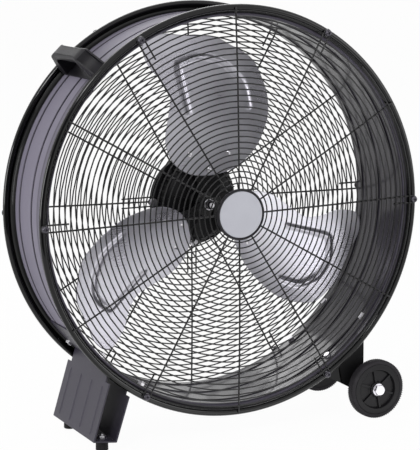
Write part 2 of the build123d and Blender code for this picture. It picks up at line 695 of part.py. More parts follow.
def tyre():
    """Solid tyre with bevelled shoulders."""
    back, face, bevel = WHEEL_FACE - WHEEL_WIDTH + 0.5, WHEEL_FACE - 0.5, 3.0
    tread = RegularPolygon(around(WHEEL_RADIUS, ROUND), ROUND)
    ring = Pos(0, 0, back + bevel) * extrude(tread, face - back - 2 * bevel)
    ring += Pos(0, 0, face - bevel) * extrude(tread, bevel, taper=40)
    ring += Pos(0, 0, back + bevel) * extrude(tread, -bevel, taper=40)
    return ring - barrel(WHEEL_RADIUS - TYRE, 0, DEPTH)


def on_axle(shape, end):
    """The shape on the front or the rear end of the axle, with a flat side down."""
    shape = Rot(0, 0, 180 / ROUND) * shape
    return fan(Pos(*AXLE) * (rear(shape) if end == "rear" else shape))


# ---------------------------------------------------------------- the whole fan
NODES = {
    "drum_shell": drum_shell(),
    "front_guard_spiral": fan(spiral(FRONT_FIRST, FRONT_DOME, FRONT_STEP)),
    "front_guard_spokes": front_guard_spokes(),
    "front_guard_screws": fan(guard_screws()),
    "badge_cup": badge_cup(),
    "guard_badge": guard_badge(),
    "badge_screw": badge_screw(),
    "rear_guard_spiral": fan(rear(spiral(REAR_FIRST, -REAR_DISH, REAR_STEP))),
    "rear_guard_spokes": rear_guard_spokes(),
    "rear_guard_screws": fan([rear(screw) for screw in guard_screws()]),
    "motor_plate": motor_plate(),
    "motor_plate_bolts": motor_plate_bolts(),
    "motor_front_bell": motor_front_bell(),
    "motor_rear_bell": motor_rear_bell(),
    "motor_stator": motor_stator(),
    "rotor_core": rotor_core(),
    "front_bearing": bearing(MOTOR_FRONT - MOTOR_WALL - BEARING_WIDTH),
    "rear_bearing": bearing(MOTOR_REAR + MOTOR_WALL),
    "motor_shaft": motor_shaft(),
    "blade_hub": blade_hub(),
    "blade_rivets": blade_rivets(),
    "shaft_nut": shaft_nut(),
    "switch_box": switch_box(),
    "switch_box_screws": switch_box_screws(),
    "speed_switch": speed_switch(),
    "switch_spindle": switch_spindle(),
    "speed_knob": speed_knob(),
    "capacitor": capacitor(),
    "cable_gland": cable_gland(),
    "handle": handle(),
    "handle_screws": handle_screws(),
    "support_leg": support_leg(),
    "leg_bolts": wall_bolts(LEG_BOLT_ANGLES, True),
    "leg_nuts": wall_nuts(LEG_BOLT_ANGLES, BODY_RADIUS - DRUM_SHEET - 5.5),
    "rubber_feet": rubber_feet(),
    "foot_studs": foot_studs(),
    "foot_nuts": foot_nuts(),
    "wheel_bracket": wheel_bracket(),
    "bracket_bolts": wall_bolts(BRACKET_BOLT_ANGLES, False),
    "bracket_nuts": wall_nuts(BRACKET_BOLT_ANGLES, BODY_RADIUS + BRACKET_SHEET),
    "wheel_axle": wheel_axle(),
    "axle_nut": axle_nut(),
    "axle_spacers": axle_spacers(),
}
for index, one_blade in enumerate(blades(), 1):
    NODES[f"blade_{index}"] = fan(one_blade)
for end in ("front", "rear"):
    NODES[f"{end}_wheel"] = on_axle(wheel(), end)
    NODES[f"{end}_tyre"] = on_axle(tyre(), end)

os.makedirs("parts", exist_ok=True)
for name, shape in NODES.items():
    export_step(shape, f"parts/{name}.step")
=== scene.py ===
"""Drum fan on a folded leg and two wheels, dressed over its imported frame.

Pieces are drawn in millimetres in the fan's own frame: X right and Y up as seen from the
front, Z forward along the drum's axis. FAN then lays each mesh in the object's frame.
"""

from math import acos, asin, cos, degrees, hypot, pi, radians, sin, sqrt

import bmesh
import bpy
from mathutils import Matrix, Vector


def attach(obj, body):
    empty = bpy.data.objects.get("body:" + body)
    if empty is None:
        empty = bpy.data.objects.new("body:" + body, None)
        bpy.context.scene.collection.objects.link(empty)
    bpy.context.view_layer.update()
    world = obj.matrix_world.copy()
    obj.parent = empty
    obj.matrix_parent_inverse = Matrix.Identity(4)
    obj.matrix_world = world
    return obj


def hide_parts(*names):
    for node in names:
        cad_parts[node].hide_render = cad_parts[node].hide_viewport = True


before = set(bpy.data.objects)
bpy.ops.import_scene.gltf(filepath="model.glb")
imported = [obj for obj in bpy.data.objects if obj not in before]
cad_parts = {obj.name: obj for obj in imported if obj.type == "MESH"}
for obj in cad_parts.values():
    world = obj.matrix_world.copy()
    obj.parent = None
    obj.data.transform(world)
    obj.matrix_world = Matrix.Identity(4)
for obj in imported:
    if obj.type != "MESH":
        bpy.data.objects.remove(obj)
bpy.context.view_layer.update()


# ---------------------------------------------------------------- the studio
# White paper under the fan and a bright room round it, with a soft box high on the left, one
# low on the left, one on the right and one behind. Two cards that only reflections see give
# the bare metal its form. The camera is left of the front and a little above the middle.
scene = bpy.context.scene
scene.view_settings.view_transform = "Standard"

CAMERA_AT = Vector((-1.29952, -2.80586, 0.86031))
CAMERA_YAW = radians(24.7534)
CAMERA_PITCH = radians(-9.4516)
CAMERA_ROLL = radians(-0.5424)
FOCAL_PIXELS = 1836.39
PICTURE_PIXELS = 450.0
SENSOR = 36.0
LIT_MIDDLE = Vector((0, 0, 0.35))
ROOM_LIGHT = 0.42
PAPER_GLOW = 0.97
FLOOR_HALF = 60.0
FLOOR_DROP = 0.0003
CARD_TOP = 1.4
WHITE = (1, 1, 1, 1)


class Signal:
    """One output in a node tree; arithmetic on it adds its Math nodes."""

    def __init__(self, tree, socket=None):
        self.tree = tree
        self.socket = socket

    def add(self, kind, settings=None, sockets=None, output=0):
        """Make any other node: its settings first, then its sockets' values or links."""
        node = self.tree.nodes.new(kind)
        for name, value in (settings or {}).items():
            setattr(node, name, value)
        for name, value in (sockets or {}).items():
            if isinstance(value, Signal):
                self.tree.links.new(value.socket, node.inputs[name])
            else:
                node.inputs[name].default_value = value
        return Signal(self.tree, node.outputs[output])

    def math(self, operation, first, second=0.0):
        return self.add("ShaderNodeMath", {"operation": operation}, {0: first, 1: second})

    def __add__(self, other):
        return self.math("ADD", self, other)

    def __sub__(self, other):
        return self.math("SUBTRACT", self, other)

    def __rsub__(self, other):
        return self.math("SUBTRACT", other, self)

    def __mul__(self, other):
        return self.math("MULTIPLY", self, other)

    def __truediv__(self, other):
        return self.math("DIVIDE", self, other)

    def __pow__(self, other):
        return self.math("POWER", self, other)

    __radd__ = __add__
    __rmul__ = __mul__


def background_rays(start):
    """1 for what the camera sees straight, in a mirror or through glass."""
    names = ("Is Camera Ray", "Is Glossy Ray", "Is Transmission Ray")
    seen = [start.add("ShaderNodeLightPath", output=name) for name in names]
    return start.math("MAXIMUM", seen[0], start.math("MAXIMUM", seen[1], seen[2]))


def glow(start, strength):
    return start.add("ShaderNodeEmission", {}, {"Color": WHITE, "Strength": strength})


def paper_look(start):
    """Paper that takes shadows, and is white where only the background is seen."""
    lit = start.add("ShaderNodeBsdfDiffuse", {}, {"Color": (0.92, 0.92, 0.92, 1)})
    share = background_rays(start) * PAPER_GLOW
    return start.add("ShaderNodeMixShader", {}, {0: share, 1: lit, 2: glow(start, 1.0)})


def studio_sheet(name, look, corners):
    """A flat sheet that stays in the studio, with a surface of its own."""
    paint = bpy.data.materials.new(name)
    paint.use_nodes = True
    tree = paint.node_tree
    tree.links.new(look(Signal(tree)).socket, tree.nodes["Material Output"].inputs["Surface"])
    tree.nodes.remove(tree.nodes["Principled BSDF"])
    mesh = bpy.data.meshes.new(name)
    mesh.from_pydata(corners, [], [(0, 1, 2, 3)])
    mesh.materials.append(paint)
    sheet = bpy.data.objects.new(name, mesh)
    scene.collection.objects.link(sheet)
    return sheet


def reflected_card(name, strength, corners):
    """A card that only reflections see, so that bright sheets show their form."""
    card = studio_sheet(name, lambda start: glow(start, strength), corners)
    card.visible_camera = False
    card.visible_diffuse = False
    card.visible_shadow = False
    card.visible_transmission = False


def soft_box(name, at, width, watts):
    lamp = bpy.data.lights.new(name, "AREA")
    lamp.size = width
    lamp.energy = watts
    box = bpy.data.objects.new(name, lamp)
    box.location = at
    box.rotation_euler = (LIT_MIDDLE - Vector(at)).to_track_quat("-Z", "Y").to_euler()
    scene.collection.objects.link(box)


world = bpy.data.worlds.new("room")
world.use_nodes = True
scene.world = world
room = world.node_tree.nodes["Background"]
room.inputs["Color"].default_value = WHITE
room_seen = ROOM_LIGHT + (1 - ROOM_LIGHT) * background_rays(Signal(world.node_tree))
world.node_tree.links.new(room_seen.socket, room.inputs["Strength"])

floor_ends = ((-1, -1), (1, -1), (1, 1), (-1, 1))
studio_sheet("floor", paper_look, [(x * FLOOR_HALF, y * FLOOR_HALF, -FLOOR_DROP) for x, y in floor_ends])
grey_feet = [(-0.36, -1.56), (-1.52, -0.5)]
grey_corners = [(x, y, 0.01) for x, y in grey_feet] + [(x, y, CARD_TOP) for x, y in grey_feet[::-1]]
reflected_card("grey_card", 0.15, grey_corners)
white_corners = [(-0.2, -0.14, 0.002), (-0.2, -0.9, 0.002), (0.4, -0.9, 0.002), (0.4, -0.14, 0.002)]
reflected_card("white_card", 1.9, white_corners)

soft_box("key_light", (-2.3, -2.4, 2.9), 1.1, 58.0)
soft_box("low_light", (-3.4, -0.2, 0.8), 1.4, 40.0)
soft_box("fill_light", (2.6, -2.5, 1.0), 2.0, 28.0)
soft_box("back_light", (0.6, 2.8, 2.6), 2.0, 34.0)

camera = bpy.data.objects.new("camera", bpy.data.cameras.new("camera"))
camera.data.sensor_width = SENSOR
camera.data.lens = FOCAL_PIXELS * SENSOR / PICTURE_PIXELS
camera.data.clip_start = 0.05
level = Vector((cos(CAMERA_YAW), -sin(CAMERA_YAW), 0))
onward = Vector((sin(CAMERA_YAW), cos(CAMERA_YAW), 0))
ahead = onward * cos(CAMERA_PITCH) + Vector((0, 0, sin(CAMERA_PITCH)))
above = level.cross(ahead)
to_right = level * cos(CAMERA_ROLL) + above * sin(CAMERA_ROLL)
upward = above * cos(CAMERA_ROLL) - level * sin(CAMERA_ROLL)
facing = Matrix((to_right, upward, -ahead)).transposed().to_4x4()
camera.matrix_world = Matrix.Translation(CAMERA_AT) @ facing
scene.collection.objects.link(camera)
scene.camera = camera


# ---------------------------------------------------------------- drum
# Rolled steel sheet with three pressed grooves, opened out at each end and curled over into
# a round bead. Grey powder coat with a fine orange peel; the beads and flares look black.
# Its colour also holds painted light and shade: the outer face lighter than the inner, the
# grooves near black, and shaded stripes on the outer wall behind the front bead.
AXIS_HEIGHT = 379.0
FAN = Matrix.Scale(0.001, 4) @ Matrix.Translation((0, 0, AXIS_HEIGHT)) @ Matrix.Rotation(pi / 2, 4, "X")
WALL = 327.0
WALL_SHEET = 1.5
HALF = 95.0
BEAD = 5.5
BEAD_CENTRE = (339.5, HALF - BEAD)
FLARE_START, FLARE_LONG = 79.5, 8.5
FLARE_TOP = 334.5
GROOVES = (-58.0, 0.0, 58.0)
GROOVE_HALF = 4.5
GROOVE_DEPTH = 2.0


def circle(radius, steps):
    """Corners of a round outline."""
    angles = [2 * pi * step / steps for step in range(steps)]
    return [(radius * cos(angle), radius * sin(angle)) for angle in angles]


def arc(centre, radius, start, end, steps):
    """Points on a circle, from one angle to another, in degrees."""
    angles = [radians(start + (end - start) * step / steps) for step in range(steps + 1)]
    return [(centre[0] + radius * cos(angle), centre[1] + radius * sin(angle)) for angle in angles]


def ring(form, outline, height, place=Matrix()):
    """New corners along an outline, at one height of its place."""
    return [form.verts.new(place @ Vector((x, y, height))) for x, y in outline]


def skin(form, rings):
    """Faces from each ring of corners to the next."""
    for low, high in zip(rings, rings[1:]):
        for step in range(len(low)):
            corners = list(dict.fromkeys((low[step - 1], low[step], high[step], high[step - 1])))
            if len(corners) > 2:
                form.faces.new(corners)


def turned(form, profile, steps=64, place=Matrix(), looped=True):
    """Turn a section of (radius, height) points about the Z axis of its place."""
    rings = []
    for radius, height in profile:
        if radius:
            rings.append(ring(form, circle(radius, steps), height, place))
        else:
            rings.append(ring(form, [(0, 0)], height, place) * steps)
    skin(form, rings + (rings[:1] if looped else []))


def mesh_of(form, name="part"):
    """The form as a mesh, its faces turned outward."""
    bmesh.ops.recalc_face_normals(form, faces=form.faces)
    mesh = bpy.data.meshes.new(name)
    form.to_mesh(mesh)
    form.free()
    return mesh


def finished(name, form, finish, sharp=38.0, place=FAN):
    """The form as an object in its place, smooth but for its sharp bends."""
    mesh = mesh_of(form, name)
    mesh.transform(place)
    mesh.shade_smooth()
    mesh.set_sharp_from_angle(angle=radians(sharp))
    mesh.materials.clear()
    mesh.materials.append(finish)
    rough = bpy.data.objects.new("rough", mesh)
    scene.collection.objects.link(rough)
    rough.modifiers.new("flats", "WEIGHTED_NORMAL").keep_sharp = True
    smooth = bpy.data.meshes.new_from_object(rough.evaluated_get(bpy.context.evaluated_depsgraph_get()))
    bpy.data.objects.remove(rough)
    smooth.name = name
    piece = bpy.data.objects.new(name, smooth)
    scene.collection.objects.link(piece)
    return piece


def surface(name, look, fixed):
    """A material: look gives what varies over the piece, fixed what is the same all over."""
    material = bpy.data.materials.new(name)
    material.use_nodes = True
    tree = material.node_tree
    shader = tree.nodes["Principled BSDF"]
    for socket, value in fixed.items():
        shader.inputs[socket].default_value = value
    at = Signal(tree).add("ShaderNodeTexCoord", output="Object")
    for socket, signal in look(at).items():
        tree.links.new(signal.socket, shader.inputs[socket])
    return material


def noise(at, scale, detail=2.0):
    return at.add("ShaderNodeTexNoise", {}, {"Vector": at, "Scale": scale, "Detail": detail})


def streaks(at, scales, detail=2.0):
    """Noise drawn out: its scale along each axis."""
    drawn_out = at.add("ShaderNodeVectorMath", {"operation": "MULTIPLY"}, {0: at, 1: scales})
    return noise(drawn_out, 1.0, detail)


def srgb(red, green, blue):
    """A colour as it shows on a screen, 0 to 255, for a node's socket."""
    screen = [value / 255 for value in (red, green, blue)]
    linear = [value / 12.92 if value < 0.04045 else ((value + 0.055) / 1.055) ** 2.4 for value in screen]
    return (*linear, 1.0)


def tint(share, first, second):
    """From the first colour to the second, by share."""
    first, second = (srgb(*colour) if isinstance(colour, tuple) else colour for colour in (first, second))
    return share.add("ShaderNodeMix", {"data_type": "RGBA"}, {0: share, 6: first, 7: second}, 2)


def relief(height, depth, strength=1.0):
    return height.add("ShaderNodeBump", {}, {"Height": height, "Distance": depth, "Strength": strength})


def step_at(value, low, high):
    """0 below low, 1 above high and a soft step between them."""
    settings = {"interpolation_type": "SMOOTHSTEP"}
    return value.add("ShaderNodeMapRange", settings, {"Value": value, "From Min": low, "From Max": high})


def from_axis(at):
    """Distance from the drum's axis, in millimetres."""
    flat = at.add("ShaderNodeVectorMath", {"operation": "SUBTRACT"}, {0: at, 1: (0, 0, AXIS_HEIGHT / 1000)})
    flat = flat.add("ShaderNodeVectorMath", {"operation": "MULTIPLY"}, {0: flat, 1: (1, 0, 1)})
    return flat.add("ShaderNodeVectorMath", {"operation": "LENGTH"}, {0: flat}, "Value") * 1000


def drum_coat(at):
    # Streak noise round the drum: rolling marks in the relief and roughness; in the colour it also paints
    # shade, dark lines of the guard's rings, mostly on the inner face.
    rolling_and_shade_streaks = streaks(at, (2.0, 330.0, 2.0), 3.0)
    peel = noise(at, 850.0)
    cloud = noise(at, 7.0, 4.0)
    forward = at.add("ShaderNodeSeparateXYZ", {}, {0: at}, "Y") * -1000
    groove = sum(step_at(at.math("ABSOLUTE", forward - place), 5.5, 1.5) for place in GROOVES)
    radius = from_axis(at)
    outside = step_at(radius + GROOVE_DEPTH * groove, WALL - 1.1, WALL - 0.4)
    # Painted shade: from 26 mm forward to the front bead the outer face is darkened in stripes, the front
    # bead's shade on the wall.
    bead_shade_stripes = step_at(forward, 25, 27) * (0.35 + 0.6 * step_at(rolling_and_shade_streaks, 0.42, 0.6))
    rim = step_at(radius, WALL + 1.5, WALL + 5)
    rear_rim = step_at(forward, 3 - FLARE_START, -FLARE_START)
    # Painted light and shade: the one grey coat in two copies, the inner face much darker as if shaded
    # (dull), the outer lighter as if lit (bright).
    dull = tint(rolling_and_shade_streaks, (20, 17, 25), (54, 49, 62))
    # Painted shade: the grooves are darkened toward near black on the inner face.
    dull = tint(groove * 0.75, dull, (14, 12, 17))
    bright = tint(cloud * 0.6 + rolling_and_shade_streaks * 0.4, (104, 100, 114), (130, 126, 140))
    bright = tint(bead_shade_stripes, bright, (58, 55, 64))
    # Painted shade: the grooves are darkened to near black on the outer face.
    bright = tint(groove * 0.92, bright, (12, 11, 14))
    bright = tint(rear_rim, bright, (8, 8, 9))
    return {
        "Base Color": tint(rim, tint(outside, dull, bright), (8, 8, 9)),
        "Roughness": 0.24 + 0.16 * outside + 0.08 * cloud + 0.08 * rolling_and_shade_streaks,
        "Metallic": at.math("MAXIMUM", groove * outside, rim),
        "Normal": relief(peel + rolling_and_shade_streaks * 0.6, 0.00025, 0.5),
        "Coat Weight": at.math("MAXIMUM", rim * 0.7, (1 - outside) * (0.6 - 0.45 * groove)),
    }


def drum_side(radius):
    """One face of the sheet, from the rear bead to the front one."""
    side = []
    for groove in GROOVES:
        for step in range(-5, 6):
            dip = GROOVE_DEPTH * (1 + cos(pi * step / 5)) / 2
            side.append((radius - dip, groove + GROOVE_HALF * step / 5))
    shares = [step / 5 for step in range(6)]
    front = [(radius + (FLARE_TOP - WALL) * t ** 1.4, FLARE_START + FLARE_LONG * t) for t in shares]
    return [(r, -f) for r, f in front[::-1]] + side + front


form = bmesh.new()
front_bead = arc(BEAD_CENTRE, BEAD, -155, 195, 20)
rear_bead = [(r, -f) for r, f in front_bead[::-1]]
turned(form, drum_side(WALL) + front_bead + drum_side(WALL - WALL_SHEET)[::-1] + rear_bead, 192)
grey_powder = surface("grey powder coat", drum_coat, {"Specular IOR Level": 0.12, "Coat Roughness": 0.08})
drum = finished("drum", form, grey_powder)
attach(drum, "body")
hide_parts("drum_shell")


# ---------------------------------------------------------------- wire guards
# Each guard is one drawn wire wound in a spiral and spot-welded in front of twelve spokes,
# dipped in black. Every second spoke ends in a loop round its screw in the bead.
RING_WIRE = 2.4
SPOKE_WIRE = 3.0
PIN_WIRE = 2.6
RING_PITCH = 9.66
RING_LAST = 331.0
RING_START = radians(168.0)
GUARD_SEAT = 318.0
SPOKE_LIFT = HALF + SPOKE_WIRE / 2
FRONT_FIRST, FRONT_INNER, FRONT_DOME = 44.5, 37.0, 7.2
REAR_FIRST, REAR_INNER, REAR_DOME = 83.5, 76.0, -6.57
SCREW_CIRCLE = 337.5
LOOP_SIDE = 5.75
PIN_SIDE, PIN_STEP = 8.0, 11.0
HUB_SHEET = 2.4
HUB_EDGE = 0.6
WELD = 0.4
LOOP_TAIL = 40.0
REAR = Matrix.Rotation(pi, 4, "Y")
BEHIND = FAN @ REAR
WOUND = Matrix.Rotation(RING_START, 4, "Z") @ Matrix.Scale(-1, 4, (0, 1, 0))


def tree_with(name, sizes):
    """An empty Geometry Nodes tree with named inputs; gives them as signals."""
    tree = bpy.data.node_groups.new(name, "GeometryNodeTree")
    kinds = {"Seed": "NodeSocketGeometry", "Finish": "NodeSocketMaterial", "Part": "NodeSocketObject"}
    for label in kinds:
        tree.interface.new_socket(label, in_out="INPUT", socket_type=kinds[label])
    for label, size in sizes.items():
        kind = "NodeSocketInt" if isinstance(size, int) else "NodeSocketFloat"
        tree.interface.new_socket(label, in_out="INPUT", socket_type=kind).default_value = size
    tree.interface.new_socket("Grown", in_out="OUTPUT", socket_type="NodeSocketGeometry")
    entry = tree.nodes.new("NodeGroupInput")
    return {socket.name: Signal(tree, socket) for socket in entry.outputs if socket.name}


def close_tree(shape, finish):
    """End a tree with plain geometry in one finish, and give the tree."""
    real = shape.add("GeometryNodeRealizeInstances", {}, {"Geometry": shape})
    done = real.add("GeometryNodeSetMaterial", {}, {"Geometry": real, "Material": finish})
    way_out = shape.tree.nodes.new("NodeGroupOutput")
    shape.tree.links.new(done.socket, way_out.inputs["Grown"])
    return shape.tree


def grown(tree, finish, seed=None, **values):
    """The plain mesh that a tree makes from a seed mesh and these inputs."""
    holder = bpy.data.objects.new("seed", seed or bpy.data.meshes.new("seed"))
    scene.collection.objects.link(holder)
    modifier = holder.modifiers.new("grow", "NODES")
    modifier.node_group = tree
    values["Finish"] = finish
    for item in tree.interface.items_tree:
        if item.in_out == "INPUT" and item.name in values:
            modifier[item.identifier] = values[item.name]
    mesh = bpy.data.meshes.new_from_object(holder.evaluated_get(bpy.context.evaluated_depsgraph_get()))
    holder.modifiers.remove(modifier)
    bpy.data.objects.remove(holder)
    return mesh


def domed(line, given):
    """The line lifted off the rim: most at the middle, not at all outside the seat."""
    place = line.add("GeometryNodeInputPosition")
    x = place.add("ShaderNodeSeparateXYZ", {}, {0: place}, "X")
    y = place.add("ShaderNodeSeparateXYZ", {}, {0: place}, "Y")
    inward = 1 - ((x * x + y * y) / GUARD_SEAT ** 2) ** 1.5
    height = given["Lift"] + given["Rise"] * inward.math("MAXIMUM", inward, 0.0)
    place = x.add("ShaderNodeCombineXYZ", {}, {"X": x, "Y": y, "Z": height})
    return line.add("GeometryNodeSetPosition", {}, {"Geometry": line, "Position": place})


def drawn(curve, wire):
    """A round wire along a curve."""
    section = curve.add("GeometryNodeCurvePrimitiveCircle", {}, {"Resolution": 8, "Radius": wire / 2})
    sockets = {"Curve": curve, "Profile Curve": section, "Fill Caps": True}
    return curve.add("GeometryNodeCurveToMesh", {}, sockets)


def spiral_tree():
    sizes = {"First": 44.5, "Last": 331.0, "Turns": 30.0, "Lift": 99.2, "Rise": 7.2, "Wire": 2.4}
    given = tree_with("guard spiral", {**sizes, "Bends": 64})
    sockets = {"Resolution": given["Bends"], "Rotations": given["Turns"], "Height": 0.0}
    sockets.update({"Start Radius": given["First"], "End Radius": given["Last"], "Reverse": False})
    line = given["First"].add("GeometryNodeCurveSpiral", {}, sockets)
    return close_tree(drawn(domed(line, given), given["Wire"]), given["Finish"])


def ring_of(shape, count, first):
    """Copies of a shape, evenly turned about the axis."""
    spots = shape.add("GeometryNodePoints", {}, {"Count": count, "Position": (0, 0, 0)})
    turn = shape.add("GeometryNodeInputIndex") * 2 * pi / count + first
    euler = turn.add("ShaderNodeCombineXYZ", {}, {"Z": turn})
    turn = euler.add("FunctionNodeEulerToRotation", {}, {"Euler": euler})
    sockets = {"Points": spots, "Instance": shape, "Rotation": turn}
    return spots.add("GeometryNodeInstanceOnPoints", {}, sockets)


def spoke_tree():
    given = tree_with("guard spokes", {"Count": 6, "First": 0.0, "Lift": 96.5, "Rise": 7.2, "Wire": 3.0})
    line = given["Seed"].add("GeometryNodeMeshToCurve", {}, {"Mesh": given["Seed"]})
    wire = drawn(domed(line, given), given["Wire"])
    return close_tree(ring_of(wire, given["Count"], given["First"]), given["Finish"])


def lifted(height, profile):
    """A section's points, with their heights counted from this one."""
    return [(radius, height + up) for radius, up in profile]


def clouded(dark, light, cloud, grain, rough, bump):
    """A look that drifts from dark to light over a cloud, on a fine grain.

    cloud and grain are noises; rough is a base and what the cloud and the grain add to it.
    """

    def look(at):
        patches, fine = noise(at, *cloud), noise(at, *grain)
        return {
            "Base Color": tint(patches, dark, light),
            "Roughness": rough[0] + rough[1] * patches + rough[2] * fine,
            "Normal": relief(fine, *bump),
        }

    return look


wire_coat = clouded((8, 8, 9), (17, 16, 19), (22.0, 4.0), (130.0, 3.0), (0.24, 0.0, 0.16), (0.0003, 0.35))
black_wire = surface("black dipped wire", wire_coat, {"Specular IOR Level": 0.4})
spiral = spiral_tree()
spokes = spoke_tree()


def spiral_form(first, rise):
    """The spiral in its guard's place, as if on the front."""
    turns = (RING_LAST - first) / RING_PITCH
    lift = HALF + SPOKE_WIRE + RING_WIRE / 2
    sizes = {"First": first, "Last": RING_LAST, "Turns": turns, "Lift": lift, "Rise": rise, "Wire": RING_WIRE}
    form = bmesh.new()
    form.from_mesh(grown(spiral, black_wire, **sizes))
    return form


def add_wires(form, points, rise, wire=SPOKE_WIRE, count=6, first=0.0):
    """A wire bent through these points, on each of the guard's evenly spread places."""
    path = bpy.data.meshes.new("path")
    path.from_pydata([(x, y, 0) for x, y in points], [(i, i + 1) for i in range(len(points) - 1)], [])
    sizes = {"Count": count, "First": first, "Lift": SPOKE_LIFT, "Rise": rise, "Wire": wire}
    form.from_mesh(grown(spokes, black_wire, path, **sizes))


def spokes_form(inner, rise):
    """Six spokes that end in a loop, and six plain ones between them."""
    form = bmesh.new()
    shares = [step / 15 for step in range(16)]
    run = GUARD_SEAT - inner
    slant = [(inner + run * share, LOOP_SIDE * share) for share in shares]
    loop = arc((SCREW_CIRCLE, 0.0), LOOP_SIDE, 90, -90, 10)
    tail = [(out, -LOOP_SIDE) for out in (GUARD_SEAT, GUARD_SEAT - 10, SCREW_CIRCLE - LOOP_TAIL)]
    add_wires(form, slant + loop + tail, rise)
    straight = [(inner + run * share, 0.0) for share in shares] + [(SCREW_CIRCLE + 3, 0.0)]
    add_wires(form, straight, rise, first=pi / 6)
    return form


def hub_back(inner, rise):
    """Back of the plate that the spokes are welded to."""
    return HALF + rise * (1 - (inner / GUARD_SEAT) ** 3) - HUB_SHEET + WELD


for side, first, rise, place in (
    ("front", FRONT_FIRST, FRONT_DOME, FAN),
    ("rear", REAR_FIRST, REAR_DOME, BEHIND),
):
    wound = finished(f"{side}_spiral", spiral_form(first, rise), black_wire, 60, place @ WOUND)
    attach(wound, "body")
    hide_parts(f"{side}_guard_spiral")

form = spokes_form(FRONT_INNER, FRONT_DOME)
badge_seat = hub_back(FRONT_INNER, FRONT_DOME)
plate = [(0, 0), (39.4, 0), (40, HUB_EDGE), (40, HUB_SHEET - HUB_EDGE), (39.4, HUB_SHEET), (0, HUB_SHEET)]
turned(form, lifted(badge_seat, plate), 64, looped=False)
front_spokes = finished("front_spokes", form, black_wire, 50)
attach(front_spokes, "body")
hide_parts("front_guard_spokes")

form = spokes_form(REAR_INNER, REAR_DOME)
leg_out = [(REAR_INNER + PIN_STEP * step, PIN_SIDE) for step in range(1, 6)]
leg_in = [(out, -side) for out, side in leg_out[::-1]] + [(REAR_INNER, -PIN_SIDE)]
hairpin = leg_in + arc((REAR_INNER, 0.0), PIN_SIDE, -90, -270, 10) + leg_out
add_wires(form, hairpin, REAR_DOME, PIN_WIRE, 4)
motor_seat = hub_back(REAR_INNER, REAR_DOME)
edges = [(64.5, 0), (79.4, 0), (80, HUB_EDGE), (80, HUB_SHEET - HUB_EDGE), (79.4, HUB_SHEET)]
edges += [(64.5, HUB_SHEET), (64, HUB_SHEET - HUB_EDGE), (64, HUB_EDGE)]
turned(form, lifted(motor_seat, edges), 72)
rear_spokes = finished("rear_spokes", form, black_wire, 50, BEHIND)
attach(rear_spokes, "body")
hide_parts("rear_guard_spokes")


# ---------------------------------------------------------------- badge
# A plain disc of satin grey plastic, snapped into a black moulded cup with a round lip. The
# cup is screwed to the front guard's hub plate from behind.
BADGE_RADIUS = 43.0
CUP_BACK = badge_seat + HUB_SHEET + SPOKE_WIRE - 0.3
CUP_FLOOR = 2.5
LIP = 2.0

plastic_look = clouded((16, 15, 19), (28, 26, 32), (18.0, 4.0), (1400.0,), (0.34, 0.16, 0.08), (0.0002, 0.4))
black_plastic = surface("black moulded plastic", plastic_look, {"Specular IOR Level": 0.25})
pale, paler = (180, 181, 190), (190, 191, 200)
badge_look = clouded(pale, paler, (30.0, 3.0), (900.0,), (0.42, 0.0, 0.1), (0.00015, 0.3))
badge_grey = surface("satin grey badge", badge_look, {"Coat Weight": 0.15, "Coat Roughness": 0.2})

form = bmesh.new()
cup = [(0, 0), (41.6, 0), (42.8, 1.0), (BADGE_RADIUS, 2.2), (BADGE_RADIUS, 4.4)]
cup += arc((BADGE_RADIUS - LIP, 4.4), LIP, 0, 180, 10) + [(38.9, 4.2), (38.9, CUP_FLOOR), (0, CUP_FLOOR)]
turned(form, lifted(CUP_BACK, cup), 96, looped=False)
hub_front = badge_seat + HUB_SHEET
turned(form, [(0, hub_front), (8, hub_front), (8, CUP_BACK + 0.5), (0, CUP_BACK + 0.5)], 24, looped=False)
cup_ring = finished("badge_cup_ring", form, black_plastic)
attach(cup_ring, "body")
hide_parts("badge_cup")

form = bmesh.new()
disc = [(0, CUP_FLOOR), (38.8, CUP_FLOOR), (38.8, 5.0), (38.2, 5.6), (30, 5.75), (0, 5.8)]
turned(form, lifted(CUP_BACK, disc), 96, looped=False)
disc_face = finished("badge_disc", form, badge_grey)
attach(disc_face, "body")
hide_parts("guard_badge")


# ---------------------------------------------------------------- blades
# Three pressed sheets of satin aluminium, rolled to one curve, pitched, and stiffened by an
# embossed rib that runs round inside the edge. Each is riveted to an arm of the hub.
ROLL = 420.0
BLADE_SHEET = 2.0
BLADE_SET = (
    Matrix.Translation((0, 190.0, -9.3))
    @ Matrix.Rotation(radians(2.3), 4, "X")
    @ Matrix.Rotation(radians(-21.8), 4, "Y")
    @ Matrix.Rotation(radians(-16.2), 4, "Z")
)
BLADE_UNSET = BLADE_SET.inverted()
BLADE_TURNS = [Matrix.Rotation(radians(1.1 + 120.0 * index), 4, "Z") for index in range(3)]
BLADE_CENTRE = Vector((0, 170))
BLADE_EDGE = (
    (0, 289), (20, 283), (37, 272), (53, 262), (68, 249), (77, 232), (83, 214), (88, 195), (90, 174),
    (89, 152), (83, 129), (73, 103), (56, 79), (31, 59), (0, 50), (-32, 54), (-57, 75), (-68, 110),
    (-65, 143), (-61, 170), (-61, 190), (-74, 214), (-99, 243), (-109, 280), (-82, 295), (-46, 292),
    (-21, 290),
)
RIB_LINE = ((-30, 159), (-46, 232), (-42, 245), (-12, 254), (18, 246), (38, 229), (54, 206), (61, 168))
RIB_HALF = 6.6
RIB_HEIGHT = 4.0


